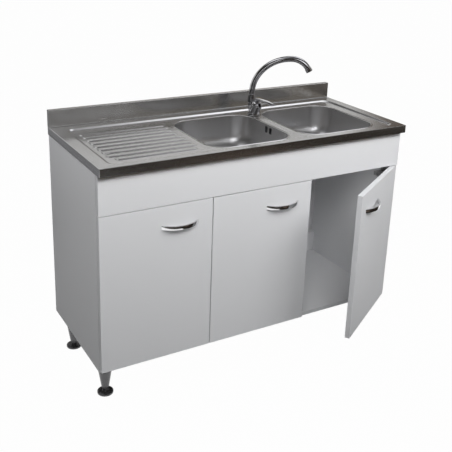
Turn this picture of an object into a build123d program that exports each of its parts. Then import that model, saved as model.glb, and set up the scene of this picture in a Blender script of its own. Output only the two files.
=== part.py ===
from build123d import *
import os
from math import cos, radians, sin, sqrt, tan

# A fitted kitchen sink unit: a white board cabinet on four cone legs with three doors, under a
# pressed steel sink top with a drainer, two bowls, a low upstand and a swan-neck mixer tap.
# X runs along the unit, Y from its front to the wall, Z up from the floor. The right-hand door
# stands ajar, as the unit is shown, and the origin is the middle of the floor box that it fills.

os.makedirs("parts", exist_ok=True)

# Sink top
top_width = 1200.0
top_depth = 500.0
top_height = 850.0
sheet = 1.0
edge_drop = 28.0
edge_radius = 1.0
upstand_height = 61.0
upstand_thickness = 20.0
recess_depth = 5.0
recess_slope = 9.0
recess_corner = 32.0
rim_left = 42.0
rim_right = 36.0
rim_front = 23.0
rim_back = 40.0

# Drainer
ridge_pitch = 36.0
ridge_width = 29.0
ridge_height = 2.6
ridge_slope_angle = 40.0
ridge_front_margin = 44.5
ridge_back_margin = 55.5
ridge_left_margin = 23.0
ridge_right_margin = 28.0
ridge_front_trim = 16.0

# Bowls
bowl_width = 325.0
bowl_depth = 140.0
bowl_corner = 75.0
bowl_bottom_radius = 40.0
bowl_draft = 4.0
bowl_flange = 7.0
bowl_gap = 49.0
bowl_right_margin = 53.5
bowl_front_margin = 24.5
bowl_back_margin = 46.5
bowl_clearance = 2.0

# Cabinet
board = 16.0
cabinet_inset = 2.0
cabinet_back_inset = 4.0
face_setback = 22.0
face_board = 18.0
door_gap = 3.0
leg_height = 130.0
fascia_height = 133.0
door_lift = 10.0
rear_rail_height = 90.0
back_panel_thickness = 3.0
back_panel_clearance = 14.0
batten_bearing = 4.0
batten_joint = 0.5
dowel_radius = 4.0
dowel_length = 30.0
dowel_front_inset = 60.0
dowel_back_inset = 100.0
bracket_thickness = 2.0
bracket_arm = 40.0
bracket_height = 30.0
bumper_length = 8.0
bumper_height = 4.0
bumper_thickness = 2.5

# Doors and their hinges
door_open_angle = 31.6
arm_pin_inset = 46.0
arm_pin_depth = 7.0
cup_pin_inset = 18.4
cup_pin_drop = 2.3
link_turn_ratio = 0.51
link_thickness = 3.0
link_height = 10.0
link_eye_radius = 3.4
hinge_pin_radius = 2.0
pin_clearance = 0.05
running_gap = 0.4
cup_radius = 17.5
cup_depth = 11.5
cup_wall = 1.5
cup_inset = 22.5
cup_flange_thickness = 1.2
cup_flange_width = 28.0
cup_flange_height = 52.0
ear_thickness = 2.0
ear_radius = 4.6
arm_width = 14.0
arm_length = 44.0
plate_length = 26.0
plate_height = 46.0
plate_thickness = 3.0
plate_screw_spacing = 32.0
hinge_end_distance = 42.0
screw_radius = 2.0
screw_head_radius = 4.0
screw_head_height = 2.0
screw_bite = 12.0

# Handles
handle_length = 134.0
handle_reach = 27.0
handle_height = 14.0
handle_thickness = 6.0
handle_foot = 10.0
handle_screw_inset = 7.0
handle_screw_bite = 4.0
handle_from_edge = 119.0
handle_from_top = 72.0

# Legs
leg_inset = 46.0
leg_front_inset = 67.0
leg_rear_inset = 64.0
leg_top_radius = 29.0
leg_bottom_radius = 12.5
leg_plate_radius = 33.0
leg_plate_thickness = 4.0
leg_stud_radius = 5.0
leg_stud_length = 26.0
foot_radius = 27.5
foot_height = 10.0
foot_bevel = 5.0
foot_neck_length = 12.0
foot_neck_radius = 9.5
foot_stem_radius = 5.0
foot_stem_length = 42.0
foot_gap = 0.3

# Tap
tap_from_back = 74.0
tap_hole_radius = 17.5
tap_gasket_thickness = 1.0
tap_base_radius = 24.0
tap_base_height = 7.0
tap_trunk_radius = 20.0
tap_trunk_height = 35.0
tap_tilt = 27.0
housing_start = 10.0
housing_length = 46.0
cap_gap = 0.4
cap_radius = 20.5
cap_skirt = 3.0
cap_dome = 13.0
cap_stem_radius = 8.0
cap_stem_length = 16.0
socket_offset = 18.0
socket_radius = 14.0
socket_height = 48.0
spout_radius = 11.0
spout_wall = 1.5
spout_turn = -40.0
spout_straight = 35.0
spout_rise_radius = 128.0
spout_rise_angle = 33.5
spout_shoulder_radius = 153.0
spout_crook_radius = 67.0
spout_end_angle = 148.0
spout_spigot_radius = 9.0
spout_spigot_length = 14.0
spout_foot_length = 4.0
collar_foot_radius = 15.5
collar_top_radius = 12.5
collar_height = 31.0
aerator_radius = 12.5
aerator_length = 14.0
aerator_lip = 4.0
lever_length = 131.0
lever_width = 22.0
lever_thickness = 8.0
lever_height = 66.0
lever_hub_radius = 8.5
lever_tongue = 8.0
lever_pivot = 58.0
lever_rear = 22.0
shank_radius = 16.0
shank_length = 44.0
tap_nut_radius = 23.0
tap_nut_height = 10.0
tap_washer_radius = 25.0
tap_washer_thickness = 3.0
inlet_radius = 5.0
inlet_length = 36.0
inlet_spacing = 18.0

# Wastes and trap
waste_flange_radius = 55.0
waste_flange_thickness = 1.2
waste_body_radius = 43.0
waste_body_depth = 36.0
waste_wall = 2.0
waste_hole_clearance = 0.5
waste_nut_width = 12.0
waste_nut_height = 8.0
pipe_radius = 20.0
pipe_wall = 2.0
tail_length = 4.0
cross_pipe_drop = 26.0
trap_radius = 32.0
trap_length = 150.0
trap_lid_height = 12.0
trap_cup_height = 40.0
outlet_drop = 80.0
outlet_back_inset = 2.0
outlet_socket_length = 32.0
outlet_ring_width = 4.0
outlet_ring_height = 2.0
basket_radius = 38.0
basket_height = 24.0
basket_wall = 1.5
basket_gap = 0.4
basket_joint = 0.1
basket_knob_radius = 6.0
basket_knob_height = 8.0
basket_hole_radius = 3.0
overflow_slot_width = 17.0
overflow_slot_height = 23.0
overflow_slot_spacing = 27.0
overflow_drop = 20.0
overflow_box_width = 64.0
overflow_box_height = 37.0
overflow_box_reach = 28.0
overflow_wall = 2.0
overflow_spigot_radius = 9.0
overflow_spigot_length = 15.0

# Places worked out from the sizes above. Depths are measured back from the sink top's front edge.
cabinet_half = top_width / 2 - cabinet_inset
side_inner = cabinet_half - board
door_width = (2 * cabinet_half - 2 * door_gap) / 3
face_back = face_setback + face_board
cabinet_front = face_back + door_gap
cabinet_back = top_depth - cabinet_back_inset
carcass_back = cabinet_back - back_panel_thickness
rail_front = carcass_back - board
upstand_front = top_depth - upstand_thickness
recess_back = upstand_front - rim_back
recess_left = -top_width / 2 + rim_left
recess_right = top_width / 2 - rim_right
recess_floor = top_height - recess_depth
deck_underside = recess_floor - sheet
carcass_top = top_height - edge_drop
bowl_length = recess_back - rim_front - bowl_front_margin - bowl_back_margin
bowl_centre = rim_front + bowl_front_margin + bowl_length / 2
bowl_right_x = recess_right - bowl_right_margin - bowl_width / 2
bowl_left_x = bowl_right_x - bowl_width - bowl_gap
bowl_floor = recess_floor - bowl_depth
tap_x = (bowl_left_x + bowl_right_x) / 2
tap_depth = recess_back - tap_from_back
door_top = carcass_top - fascia_height - door_gap
door_bottom = leg_height + door_lift
door_height = door_top - door_bottom
cup_pin_depth = face_back - cup_pin_drop
link_span_x = arm_pin_inset - cup_pin_inset
link_span_y = cabinet_front + arm_pin_depth - cup_pin_depth
link_length = sqrt(link_span_x**2 + link_span_y**2)
left_edge = -cabinet_half
middle_edge = left_edge + door_width + door_gap
right_edge = cabinet_half
partition_x = middle_edge - door_gap / 2


def cup_pin_travel(angle):
    """How far a door open by angle has carried its cup pin: inboard, and towards the front."""
    turn = radians(link_turn_ratio * angle)
    inboard = link_span_x * (1 - cos(turn)) + link_span_y * sin(turn)
    forward = link_span_x * sin(turn) - link_span_y * (1 - cos(turn))
    return inboard, forward


ajar_forward = cup_pin_travel(door_open_angle)[1]
door_reach = (
    (door_width - cup_pin_inset) * sin(radians(door_open_angle))
    + (face_board - cup_pin_drop) * cos(radians(door_open_angle))
    - cup_pin_depth
    + ajar_forward
)
front_y = (door_reach - top_depth) / 2


def at_depth(distance):
    """The Y of a place that lies this far behind the sink top's front edge."""
    return front_y + distance


def slab(x_low, x_high, back_low, back_high, z_low, z_high, mode=Mode.ADD):
    """A square-edged block between two corners, with its depths taken from the front edge."""
    middle_y = at_depth((back_low + back_high) / 2)
    with Locations(((x_low + x_high) / 2, middle_y, (z_low + z_high) / 2)):
        Box(abs(x_high - x_low), back_high - back_low, z_high - z_low, mode=mode)


def post(x, back, z_low, z_high, radius, mode=Mode.ADD):
    """An upright round bar or hole between two heights."""
    with Locations((x, at_depth(back), (z_low + z_high) / 2)):
        Cylinder(radius, z_high - z_low, mode=mode)


def rod_along_x(x_low, x_high, back, z, radius, mode=Mode.ADD):
    """A level round bar or hole that runs along the unit."""
    with Locations(((x_low + x_high) / 2, at_depth(back), z)):
        Cylinder(radius, abs(x_high - x_low), rotation=(0, 90, 0), mode=mode)


def rod_along_y(x, back_low, back_high, z, radius, mode=Mode.ADD):
    """A level round bar or hole that runs from front to back."""
    with Locations((x, at_depth((back_low + back_high) / 2), z)):
        Cylinder(radius, back_high - back_low, rotation=(90, 0, 0), mode=mode)


def finish(piece, label):
    """Name a finished piece and write its file."""
    piece.part.label = label
    export_step(piece.part, f"parts/{label}.step")


# ------------------------------------------------------------------ bowl shapes
# The outline and the room of a bowl. The sink top and the bowls are cut to them, and the boards
# and angles beside the left bowl are cut back wherever they would come too near to it.


def bowl_outline(x, grow):
    """A bowl's rounded outline, let out all round by grow."""
    with Locations((x, at_depth(bowl_centre))):
        RectangleRounded(bowl_width + 2 * grow, bowl_length + 2 * grow, bowl_corner + grow)


def bowl_block(x, inset, bottom, bottom_radius):
    """The solid that fills a bowl's inside or outside, from the deck down to its bottom."""
    with BuildPart() as block:
        with BuildSketch(Plane.XY.offset(deck_underside)):
            bowl_outline(x, -inset)
        extrude(amount=bottom - deck_underside, taper=bowl_draft)
        fillet(block.edges().group_by(Axis.Z)[0], radius=bottom_radius)
    return block.part


bowl_reach = sheet + bowl_clearance
bowl_room = bowl_block(bowl_left_x, -bowl_reach, bowl_floor - bowl_reach,
                       bowl_bottom_radius + bowl_reach)

# ------------------------------------------------------------------ cabinet boards
# Two sides, a bottom, a partition and two rear rails of melamine-faced board, dowelled together,
# with a thin hardboard back pinned on behind.

top_rail_low = carcass_top - rear_rail_height
panel_top = leg_height + board
rail_middle = carcass_back - board / 2
dowel_places = [
    (cabinet_front + dowel_front_inset, leg_height + board / 2),
    (cabinet_back - dowel_back_inset, leg_height + board / 2),
    (rail_middle, panel_top + rear_rail_height / 4),
    (rail_middle, panel_top + rear_rail_height * 3 / 4),
    (rail_middle, top_rail_low + rear_rail_height / 4),
    (rail_middle, top_rail_low + rear_rail_height * 3 / 4),
]
hinge_heights = (door_bottom + hinge_end_distance, door_top - hinge_end_distance)
plate_middle = cabinet_front + arm_length - plate_length / 2


def side_dowels(hand, mode=Mode.ADD):
    """The dowels of one side: hand is -1 for the left side board and 1 for the right."""
    for back, height in dowel_places:
        outer_end = hand * (side_inner + board * 0.6)
        rod_along_x(outer_end - hand * dowel_length, outer_end, back, height, dowel_radius, mode)


def plate_screws(board_face, inward, mode=Mode.ADD):
    """The shanks of the hinge plate screws, driven into a board away from the inward side."""
    for height in hinge_heights:
        for step in (-plate_screw_spacing / 2, plate_screw_spacing / 2):
            rod_along_x(board_face - inward * screw_bite, board_face + inward * plate_thickness,
                        plate_middle, height + step, screw_radius, mode)


def side_board(hand):
    """A side of the cabinet, bored for its dowels and hinge screws."""
    with BuildPart() as side:
        slab(hand * side_inner, hand * cabinet_half, cabinet_front, carcass_back,
             leg_height, carcass_top)
        side_dowels(hand, mode=Mode.SUBTRACT)
        plate_screws(hand * side_inner, -hand, mode=Mode.SUBTRACT)
    return side


finish(side_board(-1), "side_left")
finish(side_board(1), "side_right")

leg_x = top_width / 2 - leg_inset
leg_places = {
    "front_left": (-leg_x, cabinet_front + leg_front_inset),
    "front_right": (leg_x, cabinet_front + leg_front_inset),
    "rear_left": (-leg_x, cabinet_back - leg_rear_inset),
    "rear_right": (leg_x, cabinet_back - leg_rear_inset),
}
stud_high = leg_height + board * 3 / 4
stud_low = stud_high - leg_stud_length

with BuildPart() as bottom_panel:
    slab(-side_inner, side_inner, cabinet_front, carcass_back, leg_height, panel_top)
    side_dowels(-1, mode=Mode.SUBTRACT)
    side_dowels(1, mode=Mode.SUBTRACT)
    for x, back in leg_places.values():
        post(x, back, stud_low, stud_high, leg_stud_radius, mode=Mode.SUBTRACT)
finish(bottom_panel, "bottom_panel")

with BuildPart() as partition:
    slab(partition_x - board / 2, partition_x + board / 2, cabinet_front, rail_front,
         panel_top, carcass_top)
    plate_screws(partition_x + board / 2, 1, mode=Mode.SUBTRACT)
    add(bowl_room, mode=Mode.SUBTRACT)
finish(partition, "partition")

with BuildPart() as rear_rails:
    for rail_low in (panel_top, top_rail_low):
        slab(-side_inner, side_inner, rail_front, carcass_back, rail_low,
             rail_low + rear_rail_height)
    side_dowels(-1, mode=Mode.SUBTRACT)
    side_dowels(1, mode=Mode.SUBTRACT)
finish(rear_rails, "rear_rails")

with BuildPart() as carcass_dowels:
    side_dowels(-1)
    side_dowels(1)
finish(carcass_dowels, "carcass_dowels")

# ------------------------------------------------------------------ fascia
# The fixed board under the sink top, level with the doors and held by bent steel angles.

fascia_low = carcass_top - fascia_height

with BuildPart() as fascia:
    slab(-cabinet_half, cabinet_half, face_setback, face_back, fascia_low, carcass_top)
finish(fascia, "fascia")


def fascia_bracket(board_face, inward):
    """An angle from a board's face to the back of the fascia."""
    z_low = fascia_low + (fascia_height - bracket_height) / 2
    z_high = z_low + bracket_height
    slab(board_face, board_face + inward * bracket_thickness, face_back,
         face_back + bracket_arm, z_low, z_high)
    slab(board_face, board_face + inward * bracket_arm, face_back,
         face_back + bracket_thickness, z_low, z_high)


with BuildPart() as fascia_brackets:
    fascia_bracket(-side_inner, 1)
    fascia_bracket(partition_x + board / 2, 1)
    fascia_bracket(side_inner, -1)
    add(bowl_room, mode=Mode.SUBTRACT)
finish(fascia_brackets, "fascia_brackets")

# ------------------------------------------------------------------ sink top
# One folded and pressed steel sheet: a rim, a shallow recess, the drainer and the upstand.

taper_run = recess_slope * (recess_depth + sheet) / recess_depth


def recess_outline(inset):
    """The recess's rounded outline, drawn in all round by inset."""
    with Locations(((recess_left + recess_right) / 2, at_depth((rim_front + recess_back) / 2))):
        RectangleRounded(recess_right - recess_left - 2 * inset,
                         recess_back - rim_front - 2 * inset, recess_corner - inset)


with BuildPart() as recess_outside:
    with BuildSketch(Plane.XY.offset(top_height)):
        recess_outline(0.0)
    with BuildSketch(Plane.XY.offset(deck_underside)):
        recess_outline(taper_run)
    loft(ruled=True)

with BuildPart() as recess_inside:
    with BuildSketch(Plane.XY.offset(top_height)):
        recess_outline(sheet)
    with BuildSketch(Plane.XY.offset(recess_floor)):
        recess_outline(recess_slope + sheet)
    loft(ruled=True)

bowl_left_edge = bowl_left_x - bowl_width / 2
ridge_left = recess_left + ridge_left_margin
ridge_right = bowl_left_edge - ridge_right_margin
ridge_first = rim_front + ridge_front_margin + ridge_width / 2
ridge_room = recess_back - ridge_back_margin - ridge_width / 2 - ridge_first
ridge_count = int(ridge_room / ridge_pitch + 0.001) + 1

with BuildPart() as worktop:
    slab(-top_width / 2, top_width / 2, 0, top_depth, carcass_top, top_height)
    front_top_edge = worktop.edges().group_by(Axis.Z)[-1].filter_by(Axis.X).sort_by(Axis.Y)[0]
    fillet(front_top_edge, radius=edge_radius)
    slab(-top_width / 2 + sheet, top_width / 2 - sheet, sheet, top_depth,
         carcass_top, top_height - sheet, mode=Mode.SUBTRACT)
    slab(-top_width / 2, top_width / 2, upstand_front, top_depth, top_height,
         top_height + upstand_height)
    slab(-top_width / 2 + sheet, top_width / 2 - sheet, upstand_front + sheet,
         top_depth - sheet, top_height - sheet, top_height + upstand_height - sheet,
         mode=Mode.SUBTRACT)
    add(recess_outside.part)
    add(recess_inside.part, mode=Mode.SUBTRACT)
    with BuildSketch(Plane.XY.offset(deck_underside)):
        bowl_outline(bowl_left_x, 0.0)
        bowl_outline(bowl_right_x, 0.0)
        with Locations((tap_x, at_depth(tap_depth))):
            Circle(tap_hole_radius)
    extrude(amount=sheet, mode=Mode.SUBTRACT)
    with BuildSketch(Plane.XY.offset(recess_floor)):
        for row in range(ridge_count):
            trim = ridge_front_trim if row == 0 else 0.0
            ridge_length = ridge_right - ridge_left - 2 * trim
            row_y = at_depth(ridge_first + row * ridge_pitch)
            with Locations(((ridge_left + ridge_right) / 2, row_y)):
                SlotOverall(ridge_length, ridge_width)
    extrude(amount=ridge_height, taper=ridge_slope_angle)
finish(worktop, "worktop")

# Board strips glued under the rim carry the sheet and pass its weight to the cabinet.
batten_front_inner = rim_front + taper_run + batten_bearing
batten_rear_inner = recess_back - taper_run - batten_bearing
batten_left_inner = recess_left + taper_run + batten_bearing
batten_right_inner = recess_right - taper_run - batten_bearing

with BuildPart() as worktop_battens:
    slab(-cabinet_half, cabinet_half, sheet, batten_front_inner, carcass_top, deck_underside)
    slab(-cabinet_half, cabinet_half, batten_rear_inner, cabinet_back, carcass_top,
         deck_underside)
    for outer_end, inner_end in ((-cabinet_half, batten_left_inner),
                                 (batten_right_inner, cabinet_half)):
        slab(outer_end, inner_end, batten_front_inner + batten_joint,
             batten_rear_inner - batten_joint, carcass_top, deck_underside)
finish(worktop_battens, "worktop_battens")

# ------------------------------------------------------------------ bowls
# Two deep-drawn bowls, welded under the openings; the left one has the overflow slots.

overflow_height = recess_floor - overflow_drop
overflow_wall_x = bowl_left_x + bowl_width / 2 - overflow_drop * tan(radians(bowl_draft))


def make_bowl(x, outside, inside, has_overflow):
    """A drafted shell with a welding flange, a waste hole and, on one bowl, overflow slots."""
    with BuildPart() as bowl:
        with BuildSketch(Plane.XY.offset(deck_underside - sheet)):
            bowl_outline(x, bowl_flange)
        extrude(amount=sheet)
        add(outside)
        add(inside, mode=Mode.SUBTRACT)
        post(x, bowl_centre, bowl_floor - 2 * sheet, bowl_floor + sheet,
             waste_body_radius + waste_hole_clearance, mode=Mode.SUBTRACT)
        if has_overflow:
            for step in (-overflow_slot_spacing / 2, overflow_slot_spacing / 2):
                slab(overflow_wall_x - overflow_slot_width / 2,
                     overflow_wall_x + overflow_slot_width / 2,
                     bowl_centre + step - overflow_slot_width / 2,
                     bowl_centre + step + overflow_slot_width / 2,
                     overflow_height - overflow_slot_height / 2,
                     overflow_height + overflow_slot_height / 2, mode=Mode.SUBTRACT)
    return bowl


left_outside = bowl_block(bowl_left_x, -sheet, bowl_floor - sheet, bowl_bottom_radius + sheet)
left_inside = bowl_block(bowl_left_x, 0.0, bowl_floor, bowl_bottom_radius)
right_outside = bowl_block(bowl_right_x, -sheet, bowl_floor - sheet, bowl_bottom_radius + sheet)
right_inside = bowl_block(bowl_right_x, 0.0, bowl_floor, bowl_bottom_radius)
finish(make_bowl(bowl_left_x, left_outside, left_inside, True), "bowl_left")
finish(make_bowl(bowl_right_x, right_outside, right_inside, False), "bowl_right")

# A moulded box behind the slots gathers the overflow; its spigot takes the overflow hose.
box_right = bowl_left_x + bowl_width / 2 + overflow_box_reach
box_top = deck_underside - 2 * sheet
box_bottom = box_top - overflow_box_height
box_front = bowl_centre - overflow_box_width / 2
box_back = bowl_centre + overflow_box_width / 2
spigot_x = box_right - overflow_wall - overflow_spigot_radius

with BuildPart() as overflow_box:
    slab(overflow_wall_x - overflow_wall, box_right, box_front, box_back, box_bottom, box_top)
    post(spigot_x, bowl_centre, box_bottom - overflow_spigot_length, box_bottom,
         overflow_spigot_radius)
    slab(overflow_wall_x - overflow_wall, box_right - overflow_wall,
         box_front + overflow_wall, box_back - overflow_wall, box_bottom + overflow_wall,
         box_top - overflow_wall, mode=Mode.SUBTRACT)
    post(spigot_x, bowl_centre, box_bottom - overflow_spigot_length, box_top - overflow_wall,
         overflow_spigot_radius - overflow_wall, mode=Mode.SUBTRACT)
    add(left_outside, mode=Mode.SUBTRACT)
finish(overflow_box, "overflow_box")

# ------------------------------------------------------------------ legs and feet
# Four turned cone legs on round plates, each with a foot that screws in and out to level it.

leg_bottom = foot_height + foot_neck_length
cone_top = leg_height - leg_plate_thickness
stem_top = leg_bottom + foot_stem_length

with BuildPart() as leg_plates:
    for x, back in leg_places.values():
        post(x, back, cone_top, leg_height, leg_plate_radius)
        post(x, back, cone_top, leg_height, leg_stud_radius, mode=Mode.SUBTRACT)
finish(leg_plates, "leg_plates")

with BuildPart() as leg_studs:
    for x, back in leg_places.values():
        post(x, back, stud_low, stud_high, leg_stud_radius)
finish(leg_studs, "leg_studs")

with BuildPart() as legs:
    for x, back in leg_places.values():
        with Locations((x, at_depth(back), (leg_bottom + cone_top) / 2)):
            Cone(leg_bottom_radius, leg_top_radius, cone_top - leg_bottom)
        post(x, back, stud_low, cone_top, leg_stud_radius, mode=Mode.SUBTRACT)
        post(x, back, leg_bottom, stem_top + foot_gap, foot_stem_radius + pin_clearance,
             mode=Mode.SUBTRACT)
finish(legs, "legs")


def levelling_foot(x, back):
    """A round pad with a bevelled top, a neck and a stem that stands up inside the leg."""
    neck_top = leg_bottom - foot_gap
    with BuildPart() as foot:
        with BuildSketch(Plane(origin=(x, at_depth(back), 0), x_dir=(1, 0, 0), z_dir=(0, -1, 0))):
            with BuildLine():
                Polyline(
                    (0, 0), (foot_radius, 0), (foot_radius, foot_height - foot_bevel / 2),
                    (foot_radius - foot_bevel, foot_height), (foot_neck_radius, foot_height),
                    (foot_neck_radius, neck_top), (foot_stem_radius, neck_top),
                    (foot_stem_radius, stem_top), (0, stem_top), close=True,
                )
            make_face()
        revolve(axis=Axis((x, at_depth(back), 0), (0, 0, 1)))
    return foot


for corner, (x, back) in leg_places.items():
    finish(levelling_foot(x, back), f"foot_{corner}")

# ------------------------------------------------------------------ doors
# Three plain doors. Each has a bow handle, two screws for it, and two pressed cup hinges.


def door_frame(edge_x, side, angle):
    """A door's own frame: X away from its hinge edge, Z up, origin at the front lower corner.

    side is 1 for a door hung on its left edge and -1 for one hung on its right edge. Local Y
    runs in through the board's thickness times side.
    """
    inboard, forward = cup_pin_travel(angle)
    turn = radians(angle)
    pin_through = face_board - cup_pin_drop
    pin_x = edge_x + side * (cup_pin_inset + inboard)
    pin_y = at_depth(cup_pin_depth - forward)
    corner_x = pin_x - side * (cup_pin_inset * cos(turn) + pin_through * sin(turn))
    corner_y = pin_y + cup_pin_inset * sin(turn) - pin_through * cos(turn)
    away = (side * cos(turn), -sin(turn), 0)
    return Plane(origin=(corner_x, corner_y, door_bottom), x_dir=away, z_dir=(0, 0, 1))


def door_slab(frame, side, along, through, up, mode=Mode.ADD):
    """A block in a door's frame; along, through and up are pairs of low and high values."""
    middle = (sum(along) / 2, side * sum(through) / 2, sum(up) / 2)
    with Locations(frame.location * Location(middle)):
        Box(along[1] - along[0], through[1] - through[0], up[1] - up[0], mode=mode)


def door_rod(frame, side, along, through, up, radius, mode=Mode.ADD):
    """A round bar or hole that goes in through a door between the pair of values in through."""
    middle = (along, side * sum(through) / 2, up)
    with Locations(frame.location * Location(middle)):
        Cylinder(radius, through[1] - through[0], rotation=(90, 0, 0), mode=mode)


door_hinge_heights = (hinge_end_distance, door_height - hinge_end_distance)
handle_middle = door_width - handle_from_edge
handle_up = door_height - handle_from_top
handle_half = handle_length / 2
handle_screws_at = (
    handle_middle - handle_half + handle_screw_inset,
    handle_middle + handle_half - handle_screw_inset,
)


def door_board(frame, side):
    """The board itself, bored for its hinge cups and its handle screws."""
    with BuildPart() as door:
        door_slab(frame, side, (0, door_width), (0, face_board), (0, door_height))
        for height in door_hinge_heights:
            door_rod(frame, side, cup_inset, (face_board - cup_depth, face_board), height,
                     cup_radius, mode=Mode.SUBTRACT)
        for along in handle_screws_at:
            door_rod(frame, side, along, (0, face_board), handle_up, screw_radius,
                     mode=Mode.SUBTRACT)
    return door


def bow_handle(frame, side):
    """A flat strap bent to a shallow bow, standing on its two ends."""
    inner_half = handle_half - handle_foot
    inner_reach = handle_reach - handle_thickness
    near_end = handle_middle - handle_half
    far_end = handle_middle + handle_half
    with BuildPart() as handle:
        with BuildSketch(frame.offset(handle_up - handle_height / 2)):
            with BuildLine():
                ThreePointArc((near_end, 0), (handle_middle, -side * handle_reach), (far_end, 0))
                Line((far_end, 0), (handle_middle + inner_half, 0))
                ThreePointArc((handle_middle + inner_half, 0),
                              (handle_middle, -side * inner_reach),
                              (handle_middle - inner_half, 0))
                Line((handle_middle - inner_half, 0), (near_end, 0))
            make_face()
        extrude(amount=handle_height)
        for along in handle_screws_at:
            door_rod(frame, side, along, (-handle_screw_bite, 0), handle_up, screw_radius,
                     mode=Mode.SUBTRACT)
    return handle


def handle_screw_pair(frame, side):
    """Two screws from the back of the door into the handle's feet."""
    with BuildPart() as screws:
        for along in handle_screws_at:
            door_rod(frame, side, along, (-handle_screw_bite, face_board), handle_up,
                     screw_radius)
            door_rod(frame, side, along, (face_board, face_board + screw_head_height),
                     handle_up, screw_head_radius)
    return screws


def hinge_cup_pair(frame, side):
    """Two pressed cups let into the door, each with a flange, a pin and a slot for its link."""
    inner_radius = cup_radius - cup_wall
    flange_top = face_board + cup_flange_thickness
    slot_half = link_height / 2 + running_gap
    slot_start = face_board - cup_pin_drop + hinge_pin_radius
    with BuildPart() as cups:
        for height in door_hinge_heights:
            door_rod(frame, side, cup_inset, (face_board - cup_depth, face_board), height,
                     cup_radius)
            door_slab(frame, side,
                      (cup_inset - cup_flange_width / 2, cup_inset + cup_flange_width / 2),
                      (face_board, flange_top),
                      (height - cup_flange_height / 2, height + cup_flange_height / 2))
            door_rod(frame, side, cup_inset, (face_board - cup_depth + cup_wall, flange_top),
                     height, inner_radius, mode=Mode.SUBTRACT)
            door_slab(frame, side, (0, cup_inset), (slot_start - running_gap, flange_top),
                      (height - slot_half, height + slot_half), mode=Mode.SUBTRACT)
            pin_centre = (cup_pin_inset, side * (face_board - cup_pin_drop), height)
            with Locations(frame.location * Location(pin_centre)):
                Cylinder(hinge_pin_radius, 2 * inner_radius)
    return cups


def hinge_link_pair(edge_x, side, angle):
    """Two links, each from the arm's pin on the cabinet to the cup's pin on the door."""
    inboard, forward = cup_pin_travel(angle)
    start = Vector(edge_x + side * arm_pin_inset, at_depth(cabinet_front + arm_pin_depth), 0)
    end_x = edge_x + side * (cup_pin_inset + inboard)
    end = Vector(end_x, at_depth(cup_pin_depth - forward), 0)
    with BuildPart() as links:
        for height in hinge_heights:
            low = Plane(origin=start + Vector(0, 0, height - link_height / 2),
                        x_dir=end - start, z_dir=(0, 0, 1))
            with BuildSketch(low):
                with Locations((link_length / 2, 0)):
                    Rectangle(link_length, link_thickness)
                with Locations((0, 0), (link_length, 0)):
                    Circle(link_eye_radius)
                    Circle(hinge_pin_radius + pin_clearance, mode=Mode.SUBTRACT)
            extrude(amount=link_height)
    return links


doors = {
    "left": (left_edge, 1, 0.0),
    "middle": (middle_edge, 1, 0.0),
    "right": (right_edge, -1, door_open_angle),
}
for name, (edge_x, side, angle) in doors.items():
    frame = door_frame(edge_x, side, angle)
    finish(door_board(frame, side), f"door_{name}")
    finish(bow_handle(frame, side), f"handle_{name}")
    finish(handle_screw_pair(frame, side), f"handle_screws_{name}")
    finish(hinge_cup_pair(frame, side), f"hinge_cups_{name}")
    finish(hinge_link_pair(edge_x, side, angle), f"hinge_links_{name}")

# The hinge arms stand on plates that are screwed to the boards beside each door.
arm_front = cabinet_front + arm_pin_depth
arm_web_front = arm_front + link_eye_radius + 2 * running_gap
arm_back = cabinet_front + arm_length
ear_low = link_height / 2 + running_gap
ear_high = ear_low + ear_thickness
hinge_boards = [
    (left_edge, 1, -side_inner),
    (middle_edge, 1, partition_x + board / 2),
    (right_edge, -1, side_inner),
]

with BuildPart() as hinge_arms:
    for edge_x, side, board_face in hinge_boards:
        pin_x = edge_x + side * arm_pin_inset
        foot_x = board_face + side * plate_thickness
        for height in hinge_heights:
            for low, high in ((-ear_high, -ear_low), (ear_low, ear_high)):
                post(pin_x, arm_front, height + low, height + high, ear_radius)
                slab(pin_x - ear_radius, pin_x + ear_radius, arm_front, arm_web_front,
                     height + low, height + high)
            slab(pin_x - arm_width / 2, pin_x + arm_width / 2, arm_web_front, arm_back,
                 height - ear_high, height + ear_high)
            slab(foot_x, pin_x, arm_back - plate_length, arm_back,
                 height - ear_high, height + ear_high)
            post(pin_x, arm_front, height - ear_high, height + ear_high, hinge_pin_radius)
finish(hinge_arms, "hinge_arms")

with BuildPart() as hinge_plates:
    for edge_x, side, board_face in hinge_boards:
        for height in hinge_heights:
            slab(board_face, board_face + side * plate_thickness, arm_back - plate_length,
                 arm_back, height - plate_height / 2, height + plate_height / 2)
        plate_screws(board_face, side, mode=Mode.SUBTRACT)
finish(hinge_plates, "hinge_plates")

with BuildPart() as hinge_screws:
    for edge_x, side, board_face in hinge_boards:
        plate_screws(board_face, side)
        head_start = board_face + side * plate_thickness
        for height in hinge_heights:
            for step in (-plate_screw_spacing / 2, plate_screw_spacing / 2):
                rod_along_x(head_start, head_start + side * screw_head_height, plate_middle,
                            height + step, screw_head_radius)
finish(hinge_screws, "hinge_screws")

# Soft pads on the front edge of the bottom board, one behind each door's free corner.
bumper_edges = [
    (left_edge + door_width, -1),
    (middle_edge + door_width, -1),
    (right_edge - door_width, 1),
]
bumper_low = (door_bottom + panel_top - bumper_height) / 2

with BuildPart() as door_bumpers:
    for free_edge, inboard in bumper_edges:
        near = free_edge + inboard * bumper_length / 4
        slab(near, near + inboard * bumper_length, cabinet_front - bumper_thickness,
             cabinet_front, bumper_low, bumper_low + bumper_height)
finish(door_bumpers, "door_bumpers")

# ------------------------------------------------------------------ tap
# A chromed mixer: a forked body, a tilted cartridge housing with its cap and lever in front,
# and a swan-neck spout that turns in the socket behind.

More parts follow.
